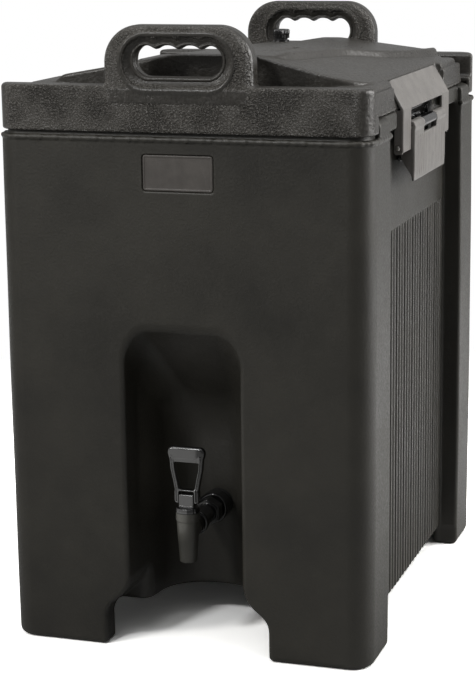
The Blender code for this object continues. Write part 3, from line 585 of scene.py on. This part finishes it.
def bail_field(x, y, z):
    abs_y = np.abs(y)
    outline = both(rect(y, z, 112, 100, 12, 0, 497), 521 - z, 2.5)
    # the corners of the sloping top are clipped
    outline = both(outline, (abs_y - 112) * 0.84 + (z - 585.5) * 0.54, 5)
    plate = both(polygon(x, z, BAIL_OUTLINE), outline, 0.9)
    flange = both(polygon(x, z, FLANGE_OUTLINE) - 0.1, 108.4 - abs_y, 1.0)
    shape = either(plate, np.maximum(flange, abs_y - 111.9), 1.4)
    window = rect(y, z, 76.6, 27.5, 3.0, 0, 537)
    shape = less(shape, np.maximum(window, 185 - x), 1.2)
    # shallow rib round the window
    shape = shape - 0.35 * bell(window - 6.0, 1.6) * (1 - smooth(z, 562, 566))
    return less(shape, around(x, z, TOGGLE) - PIN_HOLE_R, 0.3)


def base_field(x, y, z):
    abs_y = np.abs(y)
    plate = both(slab(x, 179.3, 183.2), rect(y, z, 62, 28.5, 5, 0, 533.5), 1.2)
    edge = np.abs(rect(y, z, 58, 24.5, 4, 0, 533.5)) - 1.6
    shape = either(plate, both(slab(x, 180, 185.6), edge, 0.8), 1.0)
    web = both(both(slab(z, 540.2, 549.5), slab(x, 181, 197), 1.5), abs_y - 29.9, 1.0)
    pocket = both(slab(abs_y, 5, 25), both(183.5 - x, x - 190.5, 1.5), 1.5)
    web = less(web, np.maximum(pocket, 543.5 - z), 0.8)
    knuckle = both(around(x, z, PIVOT) - 6.0, abs_y - 29.9, 1.0)
    shape = either(shape, either(web, knuckle, 1.5), 2.5)
    for screw_y in (-SCREW_Y, SCREW_Y):
        for screw_z in SCREW_ROWS:
            reach = length(y - screw_y, z - screw_z)
            boss = both(reach - 6.5, slab(x, 181, 183.5), 0.5)
            shape = either(shape, boss, 1.0)
            shape = less(shape, both(reach - 2.2, slab(x, 170, 190)), 0.2)
    return less(shape, around(x, z, PIVOT) - PIN_HOLE_R, 0.3)


def screw_field(x, y, z):
    """Domed cross-head screw along X, at y = z = 0."""
    reach = length(y, z)
    dome = x - 185.35 + 0.05 * reach * reach
    head = both(both(reach - 4.0, 183.65 - x, 0.2), dome, 0.3)
    shape = np.minimum(head, both(reach - 1.55, slab(x, 175.1, 184)))
    abs_y, abs_z = np.abs(y), np.abs(z)
    cross = np.minimum(both(abs_y - 0.5, abs_z - 2.4), both(abs_z - 0.5, abs_y - 2.4))
    return less(shape, np.maximum(cross, 184.3 - x), 0.15)


def make_latch(side):
    """side is +1 for the right latch, -1 for the left."""
    tag = "right" if side > 0 else "left"
    lever = "lever_" + tag

    def add_mirrored(name, field, low, high, *settings):
        ends = sorted((low[0] * side, high[0] * side))
        add(name, lambda x, y, z: field(x * side, y, z),
            (ends[0], *low[1:]), (ends[1], *high[1:]), *settings)

    def add_pin(name, axis, half, body):
        def pin_field(x, y, z):
            return both(around(x, z, axis) - PIN_R, np.abs(y) - half, 1.3)

        add_mirrored(name, pin_field, (axis[0] - 3, -half - 0.5, axis[1] - 3),
                     (axis[0] + 3, half + 0.5, axis[1] + 3), 0.6, body, "stainless", 6_000, name)

    add_mirrored(lever, lever_field, (184, -76, 486), (203, 76, 552), 0.8,
                 lever, "latch_plastic", 40_000, "latch_" + lever)
    add_mirrored("bail_" + tag, bail_field, (178, -112.5, 518), (199, 112.5, 597.5), 0.8,
                 "bail_" + tag, "latch_plastic", 40_000, "latch_bail_" + tag)
    add_mirrored("latch_base_" + tag, base_field, (179, -63, 504), (204, 63, 563), 0.8,
                 "body", "black_gloss_plastic", 30_000, "latch_base_" + tag)
    add_pin("lever_pin_" + tag, PIVOT, 75.2, "body")
    add_pin("bail_pin_" + tag, TOGGLE, 113.4, lever)
    places = [(screw_y, screw_z) for screw_z in SCREW_ROWS for screw_y in (-SCREW_Y, SCREW_Y)]
    for number, (screw_y, screw_z) in enumerate(places, 1):
        name = f"latch_screw_{tag}_{number}"
        add_mirrored(name, lambda x, y, z: screw_field(x, y - screw_y, z - screw_z),
                     (175, screw_y - 4.2, screw_z - 4.2), (185.6, screw_y + 4.2, screw_z + 4.2),
                     0.4, "body", "stainless", 6_000, name)


# -------------------------------------------------------------------- the tap
# Turned outlines, (radius, z) about the spout axis
SPOUT_OUTLINE = [(-5, 154), (12.5, 154), (12.5, 145.6), (11.7, 144.4), (10.9, 124.5),
                 (10.75, 123.8), (9.2, 100), (-5, 100)]
CHAMBER_OUTLINE = [(-5, 158), (9.3, 158), (9.3, 116), (6.6, 110), (6.6, 96), (-5, 96)]
BONNET_OUTLINE = [(3.2, 160.8), (8.6, 160.8), (12.0, 159), (12.7, 156.6), (12.7, 154.3),
                  (9.0, 154.3), (9.0, 148), (3.2, 148)]
# (x, z) of the bends of the handle's right arm
ARM_BENDS = [(10.9, 166.5), (10.9, 178.5), (12.6, 188), (15.2, 200), (16.4, 213)]


def spigot_field(x, y, z):
    """Upright spout with a shank running back through the wall into the tank."""
    spout_r = length(x, y - TAP_Y)
    shank_r = length(x, z - TAP_Z)
    shank = both(shank_r - 10.6, slab(y, TAP_Y, -74), 0.6)
    shape = either(polygon(spout_r, z, SPOUT_OUTLINE), shank, 2.4)
    ring = both(shank_r - 13.2, slab(y, -222, -216), 1.5)
    lean_x, lean_z = 0.5 * x, 0.866 * (z - TAP_Z)
    hexagon = np.maximum(np.maximum(np.abs(x), np.abs(lean_x + lean_z)),
                         np.abs(-lean_x + lean_z))
    nut = both(both(hexagon - 13.6, shank_r - 15.3, 0.8), slab(y, -186, -172), 1.2)
    flange = both(shank_r - 16.9, slab(y, -168, -150), 2.2)
    shape = either(either(either(shape, ring, 1.4), nut, 1.0), flange, 1.5)
    # thread on the rear end of the shank
    shape = shape + 0.35 * (0.5 + 0.5 * np.cos(y * 2.6)) * smooth(y, -101, -98)
    shape = less(shape, polygon(spout_r, z, CHAMBER_OUTLINE), 0.7)
    return less(shape, both(shank_r - 6.5, slab(y, TAP_Y, -70)), 0.6)


def bonnet_field(x, y, z):
    """Knurled cap on the spout, with a yoke for the handle."""
    radius = length(x, y - TAP_Y)
    knurl = 0.25 * np.abs(np.sin(12 * np.arctan2(y - TAP_Y, x))) * smooth(radius, 10, 12)
    cap = polygon(radius, z, BONNET_OUTLINE) + knurl
    yoke = both(both(np.abs(x) - 8.2, np.abs(y - TAP_Y) - 5.2, 1.0), slab(z, 157, 173.6), 1.6)
    bore = both(radius - 3.2, z - 166.1)
    shape = either(cap, less(yoke, bore, 0.3), 1.0)
    return less(shape, length(y - TAP_Y, z - HINGE_Z) - HINGE_HOLE_R, 0.2)


def spigot_handle_field(x, y, z):
    """Two spreading arms joined by a rounded top."""
    abs_x, abs_y = np.abs(x), np.abs(y - TAP_Y)
    arm = 99.0
    for start, end in zip(ARM_BENDS, ARM_BENDS[1:]):
        arm = np.minimum(arm, segment(abs_x, z, start, end))
    arms = both(arm - 2.45, abs_y - 3.6, 1.8)
    top = both(both(abs_x - 20.6, slab(z, 211.2, 224.8), 6.2), abs_y - 4.1, 3.2)
    ledge = both(abs_x - 13.5, slab(z, 207.8, 212), 1.0)
    foot = both(both(abs_x - 12.5, slab(z, 163.7, 178.5), 3.5), abs_y - 4.1, 1.2)
    shape = either(either(arms, top, 2.0), both(ledge, abs_y - 2.5, 1), 1.5)
    shape = either(shape, foot, 2.5)
    # shallow groove down each arm, gap between the feet, hinge hole
    shape = less(shape, both(arm - 0.55, 3.0 - abs_y), 0.3)
    shape = less(shape, both(abs_x - 8.6, z - 177.2, 2.0), 0.5)
    return less(shape, length(y - TAP_Y, z - HINGE_Z) - HINGE_HOLE_R, 0.2)


# ----------------------------------------------------- label, vent cap, spring
def label_field(x, y, z):
    face = rect(x, z, 37.5, 18.3, 3.0, 0, LABEL_Z)
    plate = both(face, slab(y, -259.5, -258.3), 0.4)
    border = both(np.abs(face + 1.3) - 0.8, slab(y, -259.9, -258.4), 0.3)
    return either(plate, border, 0.4)


def vent_cap_field(x, y, z):
    across, deep = x - VENT_X, y - VENT_Y
    radius = length(across, deep)
    ribs = 0.45 * np.cos(16 * np.arctan2(deep, across)) * smooth(radius, 5, 7.5)
    head = both(radius - 9.8 - ribs, slab(z, 624.3, 630.9), 2.2)
    neck = both(radius - 9.0 - 1.6 * ribs, slab(z, 620.3, 626), 0.6)
    stem = both(radius - 2.75, slab(z, 600, 624), 0.5)
    shape = either(either(head, neck, 0.8), stem, 1.0)
    return less(shape, both(radius - 4.6, 630.2 - z), 0.4)


def make_small():
    add("spigot", spigot_field, (-17.5, -260, 99), (17.5, -73.5, 155), 0.6, "body",
        "spout_plastic", 40_000, "spigot_body")
    add("bonnet", bonnet_field, (-13, -260, 147), (13, -234, 174), 0.4, "body",
        "black_gloss_plastic", 20_000, "spigot_bonnet")
    add("spigot_handle", spigot_handle_field, (-22, -252, 163), (22, -242, 226), 0.45,
        "spigot_handle", "black_gloss_plastic", 30_000, "spigot_handle")
    add("label_plate", label_field, (-38, -260, 494), (38, -258, 532), 0.5, "body",
        "label_plastic", 12_000, "label_plate")
    add("vent_cap", vent_cap_field, (-29, 158, 600), (-9, 178, 631), 0.5, "vent_cap",
        "black_gloss_plastic", 16_000, "vent_cap")


def make_spring():
    """The valve's spring, copied from its part and carried by the body; it is not made to shorten
    as the stem and seat cup lift.
    """
    node = frame["nodes"]["valve_spring"]
    spring = new_object("valve_spring_coil", node.data.copy())
    spring.matrix_world = node.matrix_world.copy()
    spring.data.shade_smooth()
    register(spring, "body", "valve_spring", "stainless")
    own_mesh(spring)


# ------------------------------------------------------------------ materials
def tint(colour, gain, lift=0.0):
    return tuple(min(1, part * gain + lift) for part in colour)


class Graph:
    """Builds the nodes of a material or world; most methods return an output socket."""

    def __init__(self, owner, coordinates="Object"):
        self.owner = owner
        owner.use_nodes = True
        self.tree = owner.node_tree
        self.place = self.add("ShaderNodeTexCoord").outputs[coordinates]

    def add(self, kind, **values):
        node = self.tree.nodes.new(kind)
        for key, value in values.items():
            setattr(node, key, value)
        return node

    def link(self, output, socket):
        self.tree.links.new(output, socket)

    def feed(self, socket, value):
        """Sets a colour or number, or links an output."""
        if isinstance(value, tuple):
            socket.default_value = (*value, 1.0)
        elif isinstance(value, (int, float)):
            socket.default_value = value
        else:
            self.link(value, socket)

    def noise(self, scale, detail=3.0, rough=0.55, stretch=None, distort=0.0):
        node = self.add("ShaderNodeTexNoise")
        for key, value in (("Scale", scale), ("Detail", detail), ("Roughness", rough),
                           ("Distortion", distort)):
            node.inputs[key].default_value = value
        source = self.place
        if stretch:
            mapping = self.add("ShaderNodeMapping")
            mapping.inputs["Scale"].default_value = stretch
            self.link(source, mapping.inputs["Vector"])
            source = mapping.outputs["Vector"]
        self.link(source, node.inputs["Vector"])
        return node.outputs["Fac"]

    def cells(self, scale, feature="F1"):
        node = self.add("ShaderNodeTexVoronoi", feature=feature)
        node.inputs["Scale"].default_value = scale
        self.link(self.place, node.inputs["Vector"])
        return node.outputs["Distance"]

    def span(self, value, start, end, to=(0, 1), **options):
        """Maps start..end to the range to, clamped."""
        node = self.add("ShaderNodeMapRange", **options)
        for key, limit in (("From Min", start), ("From Max", end),
                           ("To Min", to[0]), ("To Max", to[1])):
            node.inputs[key].default_value = limit
        self.link(value, node.inputs["Value"])
        return node.outputs["Result"]

    def math(self, operation, first, second):
        node = self.add("ShaderNodeMath", operation=operation)
        self.feed(node.inputs[0], first)
        self.feed(node.inputs[1], second)
        return node.outputs[0]

    def times(self, first, second):
        return self.math("MULTIPLY", first, second)

    def plus(self, first, second):
        return self.math("ADD", first, second)

    def mix(self, factor, first, second):
        node = self.add("ShaderNodeMix", data_type="RGBA")
        for key, value in (("Factor", factor), ("A", first), ("B", second)):
            self.feed(next(s for s in node.inputs if s.name == key and s.enabled), value)
        return next(s for s in node.outputs if s.enabled)

    def mottle(self, cloud, base, spread):
        """The base colour, darker and paler by spread."""
        return self.mix(self.span(cloud, 0.35, 0.65), tint(base, 1 - spread),
                        tint(base, 1 + spread))

    def axes(self):
        split = self.add("ShaderNodeSeparateXYZ")
        self.link(self.place, split.inputs[0])
        return split.outputs

    def bump(self, height, strength, distance, under=None):
        node = self.add("ShaderNodeBump")
        self.feed(node.inputs["Strength"], strength)
        node.inputs["Distance"].default_value = distance
        self.link(height, node.inputs["Height"])
        if under is not None:
            self.link(under, node.inputs["Normal"])
        return node.outputs["Normal"]

    def finish(self, colour, rough, normal, metal=0.0, specular=0.5):
        shader = self.tree.nodes["Principled BSDF"]
        for key, value in (("Base Color", colour), ("Roughness", rough), ("Metallic", metal),
                           ("Specular IOR Level", specular), ("Normal", normal)):
            self.feed(shader.inputs[key], value)
        return self.owner


def new_graph(name):
    return Graph(bpy.data.materials.new(name))


def crinkle_ends(graph, base, colour, normal, strength):
    """Coarse wrinkled grain on the lid's end walls, which are also painted paler as painted sheen,
    with painted glints on the crinkle peaks; the limits are in metres.
    """
    axes = graph.axes()
    out = graph.math("ABSOLUTE", axes["Y"], 0.0)
    # the outer walls, less the smooth bead round each hand hole
    walls = graph.times(graph.span(out, 0.2535, 0.2580),
                        graph.span(out, 0.2602, 0.2608, to=(1, 0.1)))
    # the handles' inner faces
    inner = graph.times(graph.span(out, 0.2350, 0.2375, to=(1, 0)),
                        graph.span(out, 0.2260, 0.2280))
    inner = graph.times(inner, graph.span(graph.axes()["Z"], 0.603, 0.608))
    ends = graph.math("MAXIMUM", graph.math("MAXIMUM", walls, inner), 0.08)
    coarse = graph.noise(scale=520.0, detail=2.0, rough=0.6, distort=0.15)
    blotch = graph.span(graph.noise(scale=26.0, detail=2.0, rough=0.5), 0.38, 0.62,
                        to=(0.45, 1.0))
    amount = graph.times(graph.times(ends, blotch), strength)
    normal = graph.bump(coarse, amount, distance=0.010, under=normal)
    # very pale colour on the crinkle peaks: painted glints
    painted_glint = graph.times(graph.span(coarse, 0.52, 0.66, to=(0, 0.9)), graph.times(ends, blotch))
    # the end walls painted paler: painted sheen where the grain catches the light
    colour = graph.mix(graph.times(ends, 0.8), colour, tint(base, 2.0))
    return graph.mix(painted_glint, colour, tint(base, 5.0, lift=0.10)), normal


def moulded_plastic(name, base, pebble, grain, rough, crinkle=0.0):
    """Polyethylene: pebbled grain with pale specks painted on as glints, cloudy colour, and paler
    edges that are part wear and part painted edge highlight.
    pebble is the strength of the grain, grain its frequency."""
    graph = new_graph(name)
    cloud = graph.noise(scale=9.0, detail=4.0, rough=0.6)
    patch = graph.noise(scale=34.0, detail=3.0, rough=0.6)
    fine = graph.noise(scale=grain, detail=2.0, rough=0.6)
    pits = graph.cells(scale=grain * 0.85, feature="SMOOTH_F1")
    colour = graph.mottle(cloud, base, spread=0.25)
    # pale specks painted on the grain: painted glints on the pebbles
    painted_glint_specks = graph.span(graph.times(fine, patch), 0.27, 0.42, to=(0, 0.35 * pebble))
    colour = graph.mix(painted_glint_specks, colour, tint(base, 1.9, lift=0.01))
    # edges paler where pointiness is high: partly wear, partly a painted edge highlight
    edge = graph.add("ShaderNodeNewGeometry").outputs["Pointiness"]
    wear_and_edge_highlight = graph.times(graph.span(edge, 0.515, 0.56, to=(0, 0.5)),
                       graph.span(patch, 0.3, 0.6, to=(0.4, 1)))
    colour = graph.mix(wear_and_edge_highlight, colour, tint(base, 2.2, lift=0.02))
    sheen = graph.span(graph.plus(fine, graph.times(cloud, 0.6)), 0.6, 1.0,
                       to=(rough - 0.09, rough + 0.10))
    height = graph.plus(graph.times(pits, 0.8), graph.times(fine, 0.5))
    normal = graph.bump(height, strength=0.35 * pebble, distance=0.0009)
    normal = graph.bump(graph.noise(scale=55.0, detail=3.0, rough=0.5), strength=0.10,
                        distance=0.002, under=normal)
    if crinkle:
        colour, normal = crinkle_ends(graph, base, colour, normal, crinkle)
    return graph.finish(colour, sheen, normal)


def smooth_plastic(name, base, rough, scratch=0.3, behind=None):
    """Injection-moulded plastic: faint mottling, hairline scuffs. Past the plane
    y = behind (metres), if given, it turns into the gloss black of the tap's shank."""
    graph = new_graph(name)
    glossy = rough < 0.2
    cloud = graph.noise(scale=60.0, detail=4.0, rough=0.6)
    hair = graph.noise(scale=160.0, detail=3.0, rough=0.7, stretch=(1.0, 6.0, 0.35))
    fine = graph.noise(scale=900.0, detail=2.0, rough=0.5)
    colour = graph.mottle(cloud, base, spread=0.12)
    colour = graph.mix(graph.span(hair, 0.60, 0.74, to=(0, scratch)), colour,
                       tint(base, 1.6, lift=0.02))
    sheen = graph.span(hair, 0.3, 0.75, to=(rough - 0.04, rough + 0.12))
    if behind is not None:
        back = graph.span(graph.axes()["Y"], behind - 0.0003, behind + 0.0003)
        colour = graph.mix(back, colour, (0.006, 0.006, 0.006))
        sheen = graph.math("SUBTRACT", sheen, graph.times(back, rough - 0.12))
    normal = graph.bump(graph.plus(fine, hair), strength=0.08 if glossy else 0.12,
                        distance=0.0004)
    return graph.finish(colour, sheen, normal, specular=0.9 if glossy else 0.5)


def steel(name, base):
    graph = new_graph(name)
    brushed = graph.noise(scale=240.0, detail=3.0, rough=0.6, stretch=(1.0, 9.0, 1.0))
    stain = graph.noise(scale=70.0, detail=3.0, rough=0.6)
    colour = graph.mix(graph.span(stain, 0.35, 0.7), base, tint(base, 0.78))
    return graph.finish(colour, graph.span(brushed, 0.3, 0.7, to=(0.20, 0.40)),
                        graph.bump(brushed, strength=0.12, distance=0.0003), metal=1.0)


def rubbery(name, base, rough):
    graph = new_graph(name)
    fine = graph.noise(scale=700.0, detail=3.0, rough=0.6)
    cloud = graph.noise(scale=80.0, detail=2.0, rough=0.5)
    return graph.finish(graph.mottle(cloud, base, spread=0.15),
                        graph.span(fine, 0.3, 0.7, to=(rough - 0.08, rough + 0.1)),
                        graph.bump(fine, strength=0.15, distance=0.0005))


def foamy(name, base):
    graph = new_graph(name)
    pores = graph.cells(scale=330.0)
    colour = graph.mix(graph.span(pores, 0.1, 0.5), tint(base, 0.7), base)
    return graph.finish(colour, 0.95, graph.bump(pores, strength=0.6, distance=0.002))


MATERIALS = {
    "body_plastic": moulded_plastic("body_polyethylene", (0.0240, 0.0222, 0.0172),
                                    pebble=0.55, grain=430.0, rough=0.50),
    "lid_plastic": moulded_plastic("lid_polyethylene", (0.033, 0.0305, 0.0265),
                                   pebble=1.25, grain=300.0, rough=0.34, crinkle=1.0),
    # the pale grey is painted sheen: it stands in for the light on the latch's lit faces, over a
    # darker nylon
    "latch_plastic": smooth_plastic("latch_nylon", (0.205, 0.193, 0.182), rough=0.30),
    "black_gloss_plastic": smooth_plastic("gloss_black", (0.005, 0.005, 0.005),
                                          rough=0.11, scratch=0.08),
    "spout_plastic": smooth_plastic("spout_grey", (0.040, 0.039, 0.033), rough=0.42,
                                    behind=-0.2345),
    "label_plastic": smooth_plastic("label_plate_plastic", (0.088, 0.080, 0.073), rough=0.44),
    "stainless": steel("stainless", (0.56, 0.55, 0.53)),
    "rubber": rubbery("black_rubber_seal", (0.020, 0.020, 0.020), rough=0.7),
    "silicone": rubbery("grey_silicone", (0.42, 0.42, 0.41), rough=0.55),
    "foam": foamy("polyurethane_foam", (0.78, 0.68, 0.42)),
}


# ---------------------------------------------------------------------- stage
FRONT_SKY, BACK_SKY = 0.20, 0.46     # brightness of the studio in front of and behind it
PAPER, GLOSS_FLOOR = 2.3, 1.2        # floor as the camera sees it, and as it shows in reflections


def paper_material():
    """Floor flagged off from the object, so that it throws little light back at it;
    far away it sweeps up into plain white."""
    graph = new_graph("studio_paper")
    tone = graph.noise(scale=1.5, detail=2.0, rough=0.5)
    paper = graph.mix(graph.span(tone, 0.3, 0.7), (PAPER, PAPER, PAPER * 0.995),
                      (PAPER * 1.02, PAPER * 1.02, PAPER * 1.01))
    path = graph.add("ShaderNodeLightPath")
    seen = path.outputs["Is Camera Ray"]
    shine = graph.mix(graph.span(graph.axes()["Y"], -0.4, 0.5), (0.36, 0.36, 0.355),
                      (GLOSS_FLOOR, GLOSS_FLOOR, GLOSS_FLOOR))
    other = graph.mix(path.outputs["Is Glossy Ray"], (0.14, 0.14, 0.14), shine)
    near = graph.add("ShaderNodeBsdfDiffuse")
    graph.link(graph.mix(seen, other, paper), near.inputs["Color"])
    far = graph.add("ShaderNodeEmission")
    reach = graph.add("ShaderNodeVectorMath", operation="LENGTH")
    graph.link(graph.place, reach.inputs[0])
    sweep = graph.times(graph.span(reach.outputs["Value"], 0.7, 1.25), seen)
    blend = graph.add("ShaderNodeMixShader")
    for socket, output in zip(blend.inputs, (sweep, near.outputs[0], far.outputs[0])):
        graph.link(output, socket)
    graph.link(blend.outputs[0], graph.tree.nodes["Material Output"].inputs["Surface"])
    return graph.owner


def make_floor():
    mesh = bpy.data.meshes.new("studio_floor")
    floor = new_object("studio_floor", mesh)
    grid = bmesh.new()
    bmesh.ops.create_grid(grid, x_segments=8, y_segments=8, size=14.0)
    grid.to_mesh(mesh)
    grid.free()
    floor.location.z = -0.0002
    mesh.materials.append(paper_material())


def make_world():
    """White to the camera; to everything else dimmer at the front and on the left."""
    graph = Graph(bpy.data.worlds.new("studio"), "Generated")
    axes = graph.axes()
    depth = graph.span(axes["Y"], -0.5, 0.6, to=(FRONT_SKY, BACK_SKY),
                       interpolation_type="SMOOTHSTEP")
    side = graph.span(axes["X"], -0.7, 0.5, to=(0.7, 1.0), interpolation_type="SMOOTHSTEP")
    studio = graph.times(depth, side)
    seen = graph.add("ShaderNodeLightPath").outputs["Is Camera Ray"]
    background = graph.tree.nodes["Background"]
    graph.feed(background.inputs["Color"], (1.0, 1.0, 1.0))
    graph.link(graph.math("MAXIMUM", studio, seen), background.inputs["Strength"])
    bpy.context.scene.world = graph.owner


def lamp(name, place, target, size, power, colour=(1, 1, 1), height=None):
    """Area light, square unless a height is given."""
    data = bpy.data.lights.new(name, "AREA")
    data.energy = power
    data.size = size
    if height:
        data.shape = "RECTANGLE"
        data.size_y = height
    data.color = colour
    obj = new_object(name, data)
    obj.location = place
    aim = Vector(target) - Vector(place)
    obj.rotation_euler = aim.to_track_quat("-Z", "Y").to_euler()
    return obj


def make_lamps():
    lamp("key_right", place=(2.1, 0.7, 1.15), target=(0.1, 0, 0.35), size=1.0, power=44,
         colour=(1.0, 0.985, 0.965), height=1.6)
    lamp("front_left_fill", place=(-1.9, -2.3, 1.7), target=(0, -0.2, 0.35), size=0.6, power=31,
         colour=(1.0, 0.985, 0.96))
    lamp("top", place=(0.0, -0.3, 3.0), target=(0, 0, 0.0), size=2.4, power=32)
    lamp("glint", place=(-0.75, -2.2, 2.2), target=(0, -0.2, 0.3), size=0.32, power=19.0)
    # a small card light at the alcove's mouth, facing in
    card = lamp("alcove_card", place=(-0.022, -0.257, 0.205), target=(0.045, -0.14, 0.205),
                size=0.06, power=0.021, colour=(1.0, 0.99, 0.97), height=0.15)
    card.visible_camera = False


# Camera: degrees right of the front, degrees up and roll; target and distance in metres
AZIMUTH, ELEVATION, ROLL = 18.17, 12.43, -0.69
CAMERA_TARGET, CAMERA_DISTANCE = (-0.0232, 0, 0.2853), 2.2697
SENSOR_WIDTH, FOCAL_LENGTH = 36, 103.91222386      # mm


def make_camera():
    azimuth, elevation, roll = (math.radians(angle) for angle in (AZIMUTH, ELEVATION, ROLL))
    back = Vector((math.sin(azimuth) * math.cos(elevation),
                   -math.cos(azimuth) * math.cos(elevation), math.sin(elevation)))
    level = Vector((math.cos(azimuth), math.sin(azimuth), 0))
    upright = back.cross(level)
    right = level * math.cos(roll) + upright * math.sin(roll)
    up = upright * math.cos(roll) - level * math.sin(roll)
    place = Vector(CAMERA_TARGET) + back * CAMERA_DISTANCE
    data = bpy.data.cameras.new("camera")
    data.sensor_width = SENSOR_WIDTH
    data.lens = FOCAL_LENGTH
    data.clip_end = 40
    camera = new_object("camera", data)
    rows = [tuple(row) for row in zip(right, up, back, place)]
    camera.matrix_world = Matrix((*rows, (0, 0, 0, 1)))
    bpy.context.scene.camera = camera


# ------------------------------------------------------------------- assembly
for part in frame["record"]["subparts"]:
    part_materials = frame["nodes"][part["node"]].data.materials
    part_materials.clear()
    part_materials.append(MATERIALS[part["material_slot"]])

make_body()
make_lid()
for latch_side in (1, -1):
    make_latch(latch_side)
make_small()
make_spring()
make_floor()
make_world()
make_lamps()
make_camera()
bpy.context.scene.view_settings.view_transform = "Standard"
